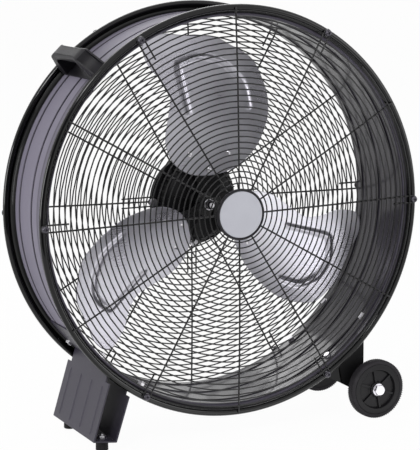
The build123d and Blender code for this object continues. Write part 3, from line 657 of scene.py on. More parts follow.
def on_roll(across, out, behind=0.0):
    """Place on the rolled sheet, seen at (across, out) from the front, some way behind its face."""
    start = BLADE_UNSET @ Vector((across, out, 0))
    run = BLADE_UNSET.to_3x3() @ Vector((0, 0, 1))
    high = start.z - ROLL
    square = run.x ** 2 + run.z ** 2
    half = start.x * run.x + high * run.z
    rest = start.x ** 2 + high ** 2 - (ROLL + behind) ** 2
    return Vector((across, out, (-half - sqrt(half * half - square * rest)) / square))


def smooth_line(points, steps, closed):
    """A curve through the points, with a number of steps from each to the next."""
    points = [Vector(point) for point in points]
    if closed:
        around = points[-1:] + points + points[:2]
    else:
        around = [2 * points[0] - points[1]] + points + [2 * points[-1] - points[-2]]
    line = []
    for one, two, three, four in zip(around, around[1:], around[2:], around[3:]):
        for step in range(steps):
            t = step / steps
            square = (2 * one - 5 * two + 4 * three - four) * t * t
            cube = (3 * two - one - 3 * three + four) * t ** 3
            line.append((2 * two + (three - one) * t + (square + cube)) / 2)
    return line if closed else line + [points[-1]]


rib_path = smooth_line(RIB_LINE, 6, False)
blade_edge = smooth_line(BLADE_EDGE, 8, True)


def rib_lift(point):
    """How far the embossed rib raises the sheet at a place."""
    gap = RIB_HALF
    for one, two in zip(rib_path, rib_path[1:]):
        run = two - one
        share = max(0.0, min(1.0, (point - one).dot(run) / run.length_squared))
        gap = min(gap, (one + run * share - point).length)
    return RIB_HEIGHT * (1 + cos(pi * gap / RIB_HALF)) / 2


def blade_form():
    """The blade that points up: rings of its outline closing on its middle, front and back."""
    form = bmesh.new()
    front, back = [], []
    for share in [step / 48 for step in range(1, 47)] + [0.978, 0.992]:
        flat = [BLADE_CENTRE + (edge - BLADE_CENTRE) * share for edge in blade_edge]
        lifts = [Vector((0, 0, rib_lift(point))) for point in flat]
        for layers, behind in ((front, 0.0), (back, BLADE_SHEET)):
            spots = [on_roll(*point, behind) + lift for point, lift in zip(flat, lifts)]
            layers.append([form.verts.new(spot) for spot in spots])
    rim = [form.verts.new(on_roll(*edge, BLADE_SHEET / 2)) for edge in blade_edge]
    skin(form, front + [rim] + back[::-1])
    for layer, behind in ((front[0], 0.0), (back[0], BLADE_SHEET)):
        skin(form, [layer, [form.verts.new(on_roll(*BLADE_CENTRE, behind))] * len(layer)])
    return form


def satin_sheet(at):
    lines = streaks(at, (14.0, 14.0, 420.0), 3.0)
    cloud = step_at(noise(at, 7.0, 3.0), 0.3, 0.7)
    return {
        "Base Color": tint(cloud, (196, 194, 204), (218, 217, 224)),
        "Roughness": 0.2 + 0.12 * cloud + 0.1 * lines,
        "Normal": relief(lines * 0.3 + noise(at, 45.0), 0.0004, 0.3),
    }


bare_metal = {"Metallic": 0.86, "Specular IOR Level": 0.3}
blade_aluminium = surface("satin rolled aluminium", satin_sheet, bare_metal)
pressing = blade_form()
for number, turn in enumerate(BLADE_TURNS, 1):
    blade = finished(f"pressed_blade_{number}", pressing.copy(), blade_aluminium, 40, FAN @ turn)
    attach(blade, "rotor")
    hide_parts(f"blade_{number}")
pressing.free()


# ---------------------------------------------------------------- blade hub
# A black spider: a machined boss on the shaft, with a pressed steel arm behind each blade.
# Its powder coat is glossy and a little uneven, as on the motor plate.
HUB_FACE = -14.0
ARM_SHEET = 2.5
ARM_LINE = ((12, 15), (40, 18), (84, 32), (95, 32), (102, 24))


def slab(form, front, back):
    """A bent plate between two grids of points, closed round its edges."""
    faces = [[[form.verts.new(point) for point in row] for row in grid] for grid in (front, back)]
    rows, columns = len(front), len(front[0])
    for grid in faces:
        for one, two in zip(grid, grid[1:]):
            for column in range(columns - 1):
                form.faces.new((one[column], one[column + 1], two[column + 1], two[column]))
    corners = ((0, 0), (0, 1), (1, 1), (1, 0))
    for row in range(rows - 1):
        for column in (0, columns - 1):
            form.faces.new([faces[side][row + step][column] for side, step in corners])
    for column in range(columns - 1):
        for row in (0, rows - 1):
            form.faces.new([faces[side][row][column + step] for side, step in corners])


def eased(form, width, steps=2, angle=32.0):
    """Break the sharp edges of what is in the form so far, and give the form."""
    bmesh.ops.recalc_face_normals(form, faces=form.faces)
    sharp = [e for e in form.edges if len(e.link_faces) == 2 and e.calc_face_angle(0) > radians(angle)]
    sizes = {"offset": width, "segments": steps, "profile": 0.6, "affect": "EDGES", "clamp_overlap": True}
    bmesh.ops.bevel(form, geom=sharp, **sizes)
    return form


def arm_half(out):
    """Half the arm's width, this far out."""
    for (one, wide), (two, wider) in zip(ARM_LINE, ARM_LINE[1:]):
        if out <= two:
            return wide + (wider - wide) * (out - one) / (two - one)
    return ARM_LINE[-1][1]


def arm_grid(turn, behind):
    rows = [(out, arm_half(out) / 6) for out in range(ARM_LINE[0][0], ARM_LINE[-1][0] + 1, 6)]
    return [[turn @ on_roll(part * column, out, behind) for column in range(-6, 7)] for out, part in rows]


gloss_coat = clouded((9, 9, 10), (18, 17, 20), (25.0, 4.0), (700.0,), (0.2, 0.16, 0.0), (0.0002, 0.4))
black_powder = surface("black powder coat", gloss_coat, {"Specular IOR Level": 0.3})
form = bmesh.new()
for turn in BLADE_TURNS:
    slab(form, arm_grid(turn, BLADE_SHEET), arm_grid(turn, BLADE_SHEET + ARM_SHEET))
eased(form, 0.5, 2, 60)
boss = [(6.1, 0), (22.6, 0), (24, -1.4), (24, -23), (23, -24), (6.1, -24)]
turned(form, lifted(HUB_FACE, boss), 48)
spider = finished("hub_spider", form, black_powder)
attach(spider, "rotor")
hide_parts("blade_hub")


# ---------------------------------------------------------------- rivets and shaft nut
# Bright domed rivets through blade and arm, and a hex nut on a bright round washer that holds
# the hub on the shaft. Both are zinc-plated steel; the nut itself has gone dark.
RIVET_SPOTS = ((-30, 87), (29, 88), (0, 60))
WASHER_EDGE = 8.1


def aimed(at, aim, spin=0.0):
    """A place whose Z axis points along aim."""
    turn = Vector(aim).to_track_quat("Z", "Y").to_matrix().to_4x4()
    return Matrix.Translation(at) @ turn @ Matrix.Rotation(spin, 4, "Z")


def fixing_tree():
    given = tree_with("fixings", {})
    info = {"transform_space": "ORIGINAL"}
    part = given["Part"].add("GeometryNodeObjectInfo", info, {"Object": given["Part"]}, "Geometry")
    kind = {"data_type": "FLOAT_VECTOR"}
    euler = part.add("GeometryNodeInputNamedAttribute", kind, {"Name": "turn"}, "Attribute")
    turn = euler.add("FunctionNodeEulerToRotation", {}, {"Euler": euler})
    sockets = {"Points": given["Seed"], "Instance": part, "Rotation": turn}
    return close_tree(part.add("GeometryNodeInstanceOnPoints", {}, sockets), given["Finish"])


fixings = fixing_tree()


def fastened(part, places, finish):
    """One part repeated at each place, as a form."""
    seed = bpy.data.meshes.new("places")
    seed.from_pydata([place.translation for place in places], [], [])
    turns = seed.attributes.new("turn", "FLOAT_VECTOR", "POINT")
    for spot, place in zip(turns.data, places):
        spot.vector = place.to_euler()
    pattern = bpy.data.objects.new("part", mesh_of(part))
    scene.collection.objects.link(pattern)
    form = bmesh.new()
    form.from_mesh(grown(fixings, finish, seed, Part=pattern))
    bpy.data.objects.remove(pattern)
    return form


def capped(form, rings):
    """A skin over rings of corners, closed at both ends."""
    form.faces.new(rings[0])
    form.faces.new(rings[-1])
    skin(form, rings)


def hexagon(form, corner, low, high, bore=0.0, place=Matrix()):
    """A hex head, or a nut with a bore, chamfered round its outer face."""
    reach = [corner * (1.0 if step % 2 == 0 else cos(pi / 6)) for step in range(12)]
    levels = [(low, reach), (high - 0.09 * corner, reach), (high, [corner * 0.845] * 12)]
    if bore:
        levels += [(high, [bore + 0.5] * 12), (high - 0.6, [bore] * 12), (low, [bore] * 12)]
    rings = []
    for height, radii in levels:
        outline = [(x * radius, y * radius) for radius, (x, y) in zip(radii, circle(1.0, 12))]
        rings.append(ring(form, outline, height, place))
    if bore:
        skin(form, rings + rings[:1])
    else:
        capped(form, rings)


def zinc(at):
    cloud = noise(at, 160.0, 4.0)
    return {
        "Base Color": tint(cloud, (196, 195, 200), (232, 230, 234)),
        "Roughness": 0.2 + 0.22 * cloud,
        "Normal": relief(streaks(at, (900, 90, 900)), 0.0001, 0.3),
    }


def nut_look(at):
    cloud = noise(at, 200.0, 4.0)
    washer_share = step_at(from_axis(at), WASHER_EDGE - 0.2, WASHER_EDGE + 0.2)
    return {
        "Base Color": tint(washer_share, tint(cloud, (20, 19, 22), (44, 43, 47)), (206, 204, 210)),
        "Roughness": 0.22 + 0.2 * cloud,
        "Normal": relief(cloud, 0.0001, 0.3),
    }


bright_steel = surface("zinc plated steel", zinc, {"Metallic": 1.0})
form = bmesh.new()
turned(form, [(0, 0), (4.5, 0), (4.4, 0.7), (3.5, 1.4), (1.9, 1.8), (0, 1.9)], 20, looped=False)
spots = []
for turn in BLADE_TURNS:
    for across, out in RIVET_SPOTS:
        at, beside, beyond = on_roll(across, out), on_roll(across + 1, out), on_roll(across, out + 1)
        spots.append(turn @ aimed(at, (beside - at).cross(beyond - at)))
rivets = finished("domed_rivets", fastened(form, spots, bright_steel), bright_steel)
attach(rivets, "rotor")
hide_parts("blade_rivets")

form = bmesh.new()
turned(form, lifted(HUB_FACE, [(5, 0), (9.6, 0), (10, 0.4), (10, 1.2), (9.6, 1.6), (5, 1.6)]), 40)
hexagon(form, 7.8, HUB_FACE + 1.6, HUB_FACE + 9, 4.7)
nut_finish = surface("black nut on a bright washer", nut_look, {"Metallic": 1.0})
nut = finished("shaft_hex_nut", form, nut_finish, 25)
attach(nut, "rotor")
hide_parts("shaft_nut")


# ---------------------------------------------------------------- guard screws
# Twelve pan-head screws with a cross recess, in steel blacked over its zinc. Each goes
# through a spoke's loop into the drum's bead.


def cross_head(radius, height, shank, shank_radius):
    """A pan head with a cross recess, seated on the plane Z = 0 above its shank."""
    form = bmesh.new()
    rings = [(shank_radius, -shank), (shank_radius, 0.0)]
    head = ((1.0, 0.0), (1.0, 0.25), (0.95, 0.5), (0.84, 0.76), (0.7, 0.92), (0.56, 1.0))
    rings += [(radius * wide, height * high) for wide, high in head]
    layers = [ring(form, circle(wide, 24), high) for wide, high in rings]
    form.faces.new(layers[0])
    skin(form, layers)
    slot, reach = radius * 0.13, radius * 0.46
    quarter = [(reach, slot), (slot, slot), (slot, reach)]
    flat = [Matrix.Rotation(pi / 2 * turn, 2) @ Vector(spot) for turn in range(4) for spot in quarter]
    lip = ring(form, flat, height)
    pit = ring(form, [spot * 0.8 for spot in flat], height * 0.45)
    form.faces.new(pit)
    skin(form, [lip, pit])
    pairs = [pair for line in (layers[-1], lip) for pair in zip(line[-1:] + line, line)]
    bmesh.ops.triangle_fill(form, use_beauty=True, edges=[form.edges.get(pair) for pair in pairs])
    return form


black_zinc = clouded((52, 51, 56), (92, 90, 97), (260.0, 3.0), (260.0, 3.0), (0.22, 0.16, 0.0), (0.0001, 0.3))
black_screw = surface("black zinc", black_zinc, {"Metallic": 0.9})
spots = []
for turn in (radians(60.0 * index) for index in range(6)):
    seat = aimed((SCREW_CIRCLE, 0, HALF + SPOKE_WIRE), (0, 0, 1), 0.9 * turn)
    spots.append(Matrix.Rotation(turn, 4, "Z") @ seat)
for side, place in (("front", FAN), ("rear", BEHIND)):
    form = fastened(cross_head(6.2, 5.4, 8.0, 2.2), spots, black_screw)
    screws = finished(f"{side}_rim_screws", form, black_screw, 30, place)
    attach(screws, "body")
    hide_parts(f"{side}_guard_screws")


# ---------------------------------------------------------------- leg
# One folded sheet under the drum's left: an outer wall with four pressed ribs, a bottom plate
# and an inner wall, narrower where its flanges are bolted to the drum. Grey powder coat.
LEG_SHEET = 2.5
LEG_LINE = (
    (-224.7, -235.0), (-233.5, -263.5), (-263.0, -359.5),
    (-221.5, -364.3), (-197.1, -289.8), (-188.9, -264.6),
)
LEG_INSIDE = Vector((-225.0, -300.0))
RIB_LENGTH = 84.0
RIBS_AT = (-72, -24, 24, 72)
NECK = 79.5
EASE = 0.45


def rounded(line, bend, steps=5):
    """The line with an arc in place of each corner between its ends."""
    path = [Vector(line[0])]
    for before, corner, after in zip(line, line[1:], line[2:]):
        corner = Vector(corner)
        back = (Vector(before) - corner).normalized() * bend
        onward = (Vector(after) - corner).normalized() * bend
        shares = [step / steps for step in range(steps + 1)]
        path += [corner + back * (1 - share) ** 2 + onward * share ** 2 for share in shares]
    return path + [Vector(line[-1])]


def folded(line, bend=1.6):
    """Section of a folded sheet: its outside runs along the line, metal on the left."""
    points = [Vector(point) for point in line]
    runs = [(after - before).normalized() for before, after in zip(points, points[1:])]
    sides = [Vector((-run.y, run.x)) for run in runs]
    inside = []
    for point, one, two in zip(points, sides[:1] + sides, sides + sides[-1:]):
        inside.append(point + (one + two) * LEG_SHEET / (1 + one.dot(two)))
    return rounded(points, bend) + rounded(inside, 0.5)[::-1]


def prism(form, outline, back, front, place=Matrix()):
    """A plate of this outline, between two heights of its place."""
    capped(form, [ring(form, outline, back, place), ring(form, outline, front, place)])


def saddle(form, start, end):
    """A flange bent to the drum's wall, from one angle to another."""
    outside = arc((0, 0), WALL + LEG_SHEET, start, end, 8)
    prism(form, arc((0, 0), WALL, start, end, 8) + outside[::-1], -NECK, NECK)


def pressed_rib(length, half, height, rows=24, columns=8):
    """A pressed rib along X, fading into the wall it stands on; closed under the wall."""
    top, under = [], []
    for row in range(rows + 1):
        x = -length / 2 + length * row / rows
        beyond = max(0.0, abs(x) - length / 2 + half)
        wide = sqrt(max(0.0, half * half - beyond * beyond))
        line = []
        for y in [wide * (2 * column / columns - 1) for column in range(columns + 1)]:
            gap = min(1.0, hypot(beyond, y) / half)
            line.append(Vector((x, y, height * (1 + cos(pi * gap)) / 2 - 0.03)))
        top.append(line)
        under.append([Vector((x, point.y, -0.5)) for point in line])
    form = bmesh.new()
    slab(form, top, under)
    return form


def coat_look(at):
    cloud = noise(at, 11.0, 4.0)
    scuff = step_at(noise(at, 60.0, 5.0), 0.62, 0.72)
    return {
        "Base Color": tint(scuff * 0.2, tint(cloud, (46, 43, 54), (55, 52, 64)), (78, 75, 88)),
        "Roughness": 0.36 + 0.14 * cloud,
        "Normal": relief(noise(at, 850.0), 0.00025, 0.5),
    }


folded_coat = surface("grey powder coat on folds", coat_look, {"Specular IOR Level": 0.3})
form = bmesh.new()
prism(form, folded(LEG_LINE[1:5]), -HALF, HALF)
for line, order in ((LEG_LINE[:3], 1), (LEG_LINE[:2:-1], -1)):
    end, fold, wall = (Vector(point) for point in line)
    under = fold + (wall - fold).normalized() * 5
    inner = (LEG_INSIDE - fold).normalized() * 0.05
    prism(form, folded([end + inner, fold + inner, under + inner][::order]), -NECK, NECK)
saddle(form, -145, -133)
saddle(form, -126, -117)
eased(form, EASE)
wall_top, wall_end = Vector((*LEG_LINE[1], 0)), Vector((*LEG_LINE[2], 0))
down_wall = (wall_end - wall_top).normalized()
off_wall = down_wall.cross(Vector((0, 0, 1)))
turn = Matrix((down_wall, off_wall.cross(down_wall), off_wall)).transposed().to_4x4()
middle = (wall_top + wall_end) / 2
rib_places = [Matrix.Translation(middle + Vector((0, 0, forward))) @ turn for forward in RIBS_AT]
form.from_mesh(mesh_of(fastened(pressed_rib(RIB_LENGTH, 3.6, 1.3), rib_places, folded_coat)))
leg = finished("folded_leg", form, folded_coat, 30)
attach(leg, "body")
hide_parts("support_leg")


# ---------------------------------------------------------------- wheel bracket
# Folded sheet under the drum's right: a saddle bolted to the drum, two skirts, and an end
# plate in front and behind, each with a boss that the axle goes through.
WHEEL_RADIUS = 52.0
AXLE = Vector((260.6, WHEEL_RADIUS - AXIS_HEIGHT))
BRACKET_LINE = ((194.0, -262.0), (200.5, -290.0), (206.0, -317.0))
SKIRT_OUT, SKIRT_LOW = 250.5, -290.0
BOSS_RADIUS = 17.5


def touching(place, side):
    """Angle on the axle's boss, in degrees, where a line from a place touches it."""
    away = Vector(place) - AXLE
    return degrees(side * acos(BOSS_RADIUS / away.length) - Vector((1, 0)).angle_signed(away))


skirt_end = (SKIRT_OUT, SKIRT_LOW)
first_touch = touching(BRACKET_LINE[-1], 1)
last_touch = touching(skirt_end, -1)
last_touch += 360 * (last_touch < first_touch)
to_drum = degrees(acos(SKIRT_OUT / WALL))
from_drum = degrees(asin(BRACKET_LINE[0][1] / WALL))
plate = list(BRACKET_LINE[1:]) + arc(AXLE, BOSS_RADIUS, first_touch, last_touch, 24)
plate += [skirt_end] + arc((0, 0), WALL + 0.5, -to_drum, from_drum, 10)

dull_coat = clouded((5, 5, 6), (12, 12, 14), (14.0, 4.0), (800.0,), (0.52, 0.16, 0.0), (0.0002, 0.5))
dull_black = surface("dull black coat", dull_coat, {"Specular IOR Level": 0.15})
form = bmesh.new()
for low in (-NECK, NECK - LEG_SHEET):
    prism(form, plate, low, low + LEG_SHEET)
prism(form, folded(BRACKET_LINE), -NECK, NECK)
inner = SKIRT_OUT - LEG_SHEET
prism(form, [(inner, SKIRT_LOW), skirt_end, (SKIRT_OUT, -209), (inner, -212)], -NECK, NECK)
saddle(form, -61, -33)
eased(form, EASE)
bracket = finished("axle_bracket", form, dull_black, 30)
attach(bracket, "body")
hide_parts("wheel_bracket")


# ---------------------------------------------------------------- bolts through the wall
# Zinc-plated steel bolts with flanged hex heads, and their nuts, four for the leg and four
# for the bracket. The leg's have their heads outside the drum, the bracket's inside.
LEG_BOLTS = (-136.5, -121.0)
BRACKET_BOLTS = (-55.4, -39.0)
BOLT_AT = 69.0
BOLT_HEAD = 6.4


def wall_spots(angles, radius, inward=False):
    """Places on the drum's wall for the four bolts of the leg or the bracket."""
    spots = []
    for angle in angles:
        out = Vector((cos(radians(angle)), sin(radians(angle)), 0))
        for forward in (-BOLT_AT, BOLT_AT):
            at = out * radius + Vector((0, 0, forward))
            spots.append(aimed(at, -out if inward else out, forward * 0.01 + angle))
    return spots


def bolt_head(shank, root=0.0):
    """A flanged hex head with a round shank from its root down."""
    form = bmesh.new()
    hexagon(form, BOLT_HEAD, 0.9, 4.5)
    turned(form, [(0, 0), (BOLT_HEAD, 0), (BOLT_HEAD, 0.9), (0, 0.9)], 24, looped=False)
    turned(form, [(0, -shank), (2.6, -shank), (3, 0.6 - shank), (3, root), (0, root)], 16, looped=False)
    return form


def hex_nut(corner, height):
    form = bmesh.new()
    hexagon(form, corner, 0.0, height, 3.0)
    return form


outside, inside = WALL + LEG_SHEET, WALL - WALL_SHEET
for name, nodes, part, spots in (
    ("leg_hex_bolts", "leg_bolts", bolt_head(12), wall_spots(LEG_BOLTS, outside)),
    ("leg_hex_nuts", "leg_nuts", hex_nut(BOLT_HEAD, 5), wall_spots(LEG_BOLTS, inside - 0.4, True)),
    ("bracket_hex_bolts", "bracket_bolts", bolt_head(12), wall_spots(BRACKET_BOLTS, inside, True)),
    ("bracket_hex_nuts", "bracket_nuts", hex_nut(BOLT_HEAD, 5), wall_spots(BRACKET_BOLTS, outside)),
):
    fixing = finished(name, fastened(part, spots, bright_steel), bright_steel, 25)
    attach(fixing, "body")
    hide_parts(nodes)


# ---------------------------------------------------------------- motor
# Two die-cast bells in black enamel, finned on the face and round the side, over the wound
# core. The rear one's flange is bolted through a steel plate to the rear guard's ring.
MOTOR_FACE = 44.55
MOTOR_SPLIT = 64.55
MOTOR_BACK = 84.55
MOTOR_SIDE = 67.0
MOTOR_INSIDE = 64.5
FLANGE, FLANGE_SHEET = 79.4, 4.4
PLATE_EDGE = 79.7
PLATE_BOLTS = 76.0
FIN_EASE, SPAR_EASE = 0.4, 0.6


def ring_tree():
    given = tree_with("ring of copies", {"Count": 6, "First": 0.0})
    return close_tree(ring_of(given["Seed"], given["Count"], given["First"]), given["Finish"])


copies = ring_tree()


def bars(form, outline, low, high, ease, count, first, finish):
    """Raised bars of this outline, evenly turned about the axis, between two heights."""
    bar = bmesh.new()
    prism(bar, outline, low, high)
    form.from_mesh(grown(copies, finish, mesh_of(eased(bar, ease)), Count=count, First=first))


def finned(form, low, high):
    """Cooling fins round a bell's side, between two heights."""
    fin = [(MOTOR_SIDE - 1, -1.1), (MOTOR_SIDE + 3, -0.8), (MOTOR_SIDE + 3, 0.8), (MOTOR_SIDE - 1, 1.1)]
    bars(form, fin, low, high, FIN_EASE, 40, 0.0, cast_motor)


def stacked_sheet(at):
    layers = streaks(at, (20.0, 1400.0, 20.0))
    return {
        "Base Color": tint(layers, (92, 90, 96), (140, 137, 143)),
        "Roughness": 0.36 + 0.2 * layers,
        "Normal": relief(layers, 0.0002, 0.6),
    }


cast_enamel = clouded((12, 12, 14), (24, 23, 26), (22.0, 4.0), (520.0, 3.0), (0.34, 0.18, 0.0), (0.0004, 0.5))
cast_motor = surface("black enamel on castings", cast_enamel, {"Specular IOR Level": 0.2})
core_steel = surface("stacked core sheet", stacked_sheet, {"Metallic": 0.8})

form = bmesh.new()
bell = [(8, 0.5), (8.5, 0), (21, 0), (22.5, 1.6), (25, 3.2), (55, 4.4)] + arc((58, 13.4), 9, -90, 0, 8)
bell += [(MOTOR_SIDE, MOTOR_SPLIT - MOTOR_FACE - 0.1), (MOTOR_INSIDE, MOTOR_SPLIT - MOTOR_FACE - 0.1)]
bell += [(MOTOR_INSIDE, 13), (58, 7.4), (19, 6.2), (19, 13), (16, 13), (16, 3), (8, 3)]
turned(form, lifted(MOTOR_FACE, bell), 72)
spar = [(24, -1.5), (60, -1.5), (60, 1.5), (24, 1.5)]
bars(form, spar, MOTOR_FACE + 1.4, MOTOR_FACE + 6, SPAR_EASE, 12, radians(15), cast_motor)
finned(form, MOTOR_FACE + 9, MOTOR_SPLIT - 0.4)
front_bell = finished("finned_front_bell", form, cast_motor, 34, BEHIND)
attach(front_bell, "body")
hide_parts("motor_front_bell")

form = bmesh.new()
bell = [(0, 0), (FLANGE - 0.8, 0), (FLANGE, -0.8), (FLANGE, 0.8 - FLANGE_SHEET)]
bell += [(FLANGE - 0.8, -FLANGE_SHEET), (69, -FLANGE_SHEET), (MOTOR_SIDE, -2 - FLANGE_SHEET)]
bell += [(MOTOR_SIDE, MOTOR_SPLIT - MOTOR_BACK + 0.1)]
bell += [(MOTOR_INSIDE, MOTOR_SPLIT - MOTOR_BACK + 0.1), (MOTOR_INSIDE, -3), (19, -3), (19, -13)]
turned(form, lifted(MOTOR_BACK, bell + [(16, -13), (16, -3), (0, -3)]), 72, looped=False)
finned(form, MOTOR_SPLIT + 0.4, MOTOR_BACK - FLANGE_SHEET - 0.2)
rear_bell = finished("finned_rear_bell", form, cast_motor, 34, BEHIND)
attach(rear_bell, "body")
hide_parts("motor_rear_bell")

form = bmesh.new()
turned(form, [(42, 58.6), (64.4, 58.6), (64.4, 70.5), (42, 70.5)], 72)
stator = finished("wound_stator", form, core_steel, 34, BEHIND)
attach(stator, "body")
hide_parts("motor_stator")

form = bmesh.new()
plate = [(36.5, MOTOR_BACK), (PLATE_EDGE - 0.5, MOTOR_BACK), (PLATE_EDGE, MOTOR_BACK + 0.5)]
plate += [(PLATE_EDGE, motor_seat - 0.5), (PLATE_EDGE - 0.5, motor_seat), (36.5, motor_seat)]
turned(form, plate + [(36, motor_seat - 0.5), (36, MOTOR_BACK + 0.5)], 72)
plate = finished("round_motor_plate", form, black_powder, 34, BEHIND)
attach(plate, "body")
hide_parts("motor_plate")

flange_front = MOTOR_BACK - motor_seat - HUB_SHEET - FLANGE_SHEET
form = bolt_head(5.6 - flange_front, 0.5)
turned(form, lifted(flange_front, [(2.9, -1.2), (7.2, -1.2), (7.4, -0.9), (7.4, 0), (2.9, 0)]), 28)
over_washer = Matrix.Translation((0, 0, flange_front - 1.2)) @ Matrix.Rotation(pi, 4, "X")
hexagon(form, 6.2, 0.0, 3.6, 2.9, over_washer)
spots = []
for turn in (0.0, 90.0, 180.0, 270.0):
    at = Matrix.Rotation(radians(turn), 4, "Z") @ Vector((PLATE_BOLTS, 0, motor_seat + HUB_SHEET))
    spots.append(aimed(at, (0, 0, 1), 0.3 + turn))
bolts = finished("plate_hex_bolts", fastened(form, spots, bright_steel), bright_steel, 25, BEHIND)
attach(bolts, "body")
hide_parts("motor_plate_bolts")


# ---------------------------------------------------------------- switch
# A black moulded box behind the motor with a rounded lid, a round knob whose grip bar points
# at one of four ticks, and a clamping gland for the cord in its lower side.
BOX_FACE = 108.55
BOX_SEAT = 86.55
BOX_WIDTH, BOX_HEIGHT = 92.0, 76.0
LUG_AT, LUG_SHEET = BOX_WIDTH / 2 + 4.5, 3.0
SWITCH_AT = Matrix.Translation((0, 9, 0))
TICK_ANGLES = (0.0, 45.0, 90.0, 135.0)
GRIP_LOW, GRIP_HIGH = BOX_FACE + 3.4, BOX_FACE + 9.8


def box_outline(inset, corner):
    """The box's outline with round corners."""
    half_x, half_y = BOX_WIDTH / 2 - inset, BOX_HEIGHT / 2 - inset
    outline = []
    for quarter, (x, y) in enumerate(((1, 1), (-1, 1), (-1, -1), (1, -1))):
        centre = (x * (half_x - corner), y * (half_y - corner))
        outline += arc(centre, corner, 90 * quarter, 90 * quarter + 90, 6)
    return outline


form = bmesh.new()
layers = [(2.5, 4.5, BOX_FACE - 2.5), (2.5, 4.5, BOX_SEAT), (0.0, 6.0, BOX_SEAT), (0.0, 6.0, BOX_FACE - 7.2)]
layers += [(0.7, 6.0, BOX_FACE - 6.9), (0.7, 6.0, BOX_FACE - 6.3), (0.0, 6.0, BOX_FACE - 6.0)]
layers += [(0.0, 6.0, BOX_FACE - 1.6), (0.5, 5.6, BOX_FACE - 0.5), (1.6, 5.0, BOX_FACE)]
capped(form, [ring(form, box_outline(inset, corner), height) for inset, corner, height in layers])
for at in (-LUG_AT, LUG_AT):
    lug = bmesh.new()
    prism(lug, [(at - 5, -7), (at + 5, -7), (at + 5, 7), (at - 5, 7)], BOX_SEAT, BOX_SEAT + LUG_SHEET)
    form.from_mesh(mesh_of(eased(lug, 0.8, 3)))
for angle in TICK_ANGLES:
    turn = SWITCH_AT @ Matrix.Rotation(radians(45 - angle), 4, "Z")
    prism(form, [(-0.6, 21.5), (0.6, 21.5), (0.6, 25.5), (-0.6, 25.5)], BOX_FACE - 0.4, BOX_FACE + 0.25, turn)
box = finished("moulded_switch_box", form, black_plastic, 34, BEHIND)
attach(box, "body")
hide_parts("switch_box")

spots = [aimed((end * (LUG_AT + 0.5), 0, BOX_SEAT + LUG_SHEET), (0, 0, 1), end) for end in (-1, 1)]
form = fastened(cross_head(4.0, 2.6, 5.0, 2.0), spots, black_screw)
screws = finished("lug_pan_screws", form, black_screw, 30, BEHIND)
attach(screws, "body")
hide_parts("switch_box_screws")

form = bmesh.new()
skirt = [(0, 0.3), (18.6, 0.3), (19, 0.8), (18.6, 3.4), (17.6, 4.3), (0, 4.3)]
turned(form, lifted(BOX_FACE, skirt), 48, looped=False)
grip = bmesh.new()
prism(grip, [(-3.5, -17.5), (3.5, -17.5), (2.6, 17.8), (-2.6, 17.8)], GRIP_LOW, GRIP_HIGH)
form.from_mesh(mesh_of(eased(grip, 1.3, 3)))
prism(form, [(-0.6, 5), (0.6, 5), (0.6, 15.5), (-0.6, 15.5)], GRIP_HIGH - 0.4, GRIP_HIGH + 0.25)
knob = finished("knob_with_grip", form, black_plastic, 30, BEHIND @ SWITCH_AT)
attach(knob, "knob")
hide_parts("speed_knob")

form = bmesh.new()
down = Matrix.Translation((-14, -BOX_HEIGHT / 2, (BOX_FACE + BOX_SEAT) / 2)) @ Matrix.Rotation(pi / 2, 4, "X")
hexagon(form, 9.0, 0.0, 5.0, 3.8, down)
cap = [(3.8, 4.5), (8.2, 4.5), (8.2, 7.5), (7.2, 8.2), (7.0, 11.6)] + arc((5.6, 11.6), 1.4, 0, 90, 4)
turned(form, cap + [(4.4, 13.0), (3.8, 12.4)], 32, down)
gland = finished("clamping_gland", form, black_plastic, 30, BEHIND)
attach(gland, "body")
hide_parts("cable_gland")


# ---------------------------------------------------------------- parts under the covers
# Plain parts that are hardly seen, kept as they are in the frame: core of stacked sheet, bright
# bearings, shaft, spindle and foot studs, a black screw behind the badge, and the switch and
# capacitor in black plastic.
for finish, names in (
    (core_steel, ("rotor_core",)),
    (bright_steel, ("front_bearing", "rear_bearing", "motor_shaft", "switch_spindle", "foot_studs")),
    (black_screw, ("badge_screw",)),
    (black_plastic, ("speed_switch", "capacitor")),
):
    for name in names:
        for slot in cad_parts[name].material_slots:
            slot.material = finish


# ---------------------------------------------------------------- feet
# Two black rubber feet under the leg's tilted plate, level below. Each is held by a zinc
# plated stud with a hex nut above the plate.
FOOT_X = -240.0
FOOT_AT = 75.0
PLATE_TILT = radians(-6.6)
PLATE_LOW = -362.14


def dusty(dark, dust, patches, low, amount, grain, rough):
    """Matt rubber on a grain, with patches of pale dust."""

    def look(at):
        fine = noise(at, *grain)
        share = step_at(noise(at, *patches), low, 0.75) * amount
        return {
            "Base Color": tint(share, dark, dust),
            "Roughness": rough[0] + rough[1] * fine,
            "Normal": relief(fine, 0.0003, 0.5),
        }

    return look


matt_rubber = dusty((16, 15, 17), (50, 48, 51), (90.0, 4.0), 0.5, 0.3, (500.0, 3.0), (0.62, 0.2))
foot_rubber = surface("matt foot rubber", matt_rubber, {"Specular IOR Level": 0.25})
form = bmesh.new()
foot_high = AXIS_HEIGHT + PLATE_LOW
for forward in (-FOOT_AT, FOOT_AT):
    under = Matrix.Translation((FOOT_X, -AXIS_HEIGHT, forward)) @ Matrix.Rotation(-pi / 2, 4, "X")
    foot = [(0, 0), (9.6, 0), (10.5, 0.9), (10.3, 9), (10.5, foot_high), (0, foot_high)]
    turned(form, foot, 32, under, looped=False)
for vert in form.verts:
    if vert.co.y > PLATE_LOW - 3:
        vert.co.y += (vert.co.x - FOOT_X) * sin(PLATE_TILT)
feet = finished("turned_feet", form, foot_rubber)
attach(feet, "body")
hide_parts("rubber_feet")

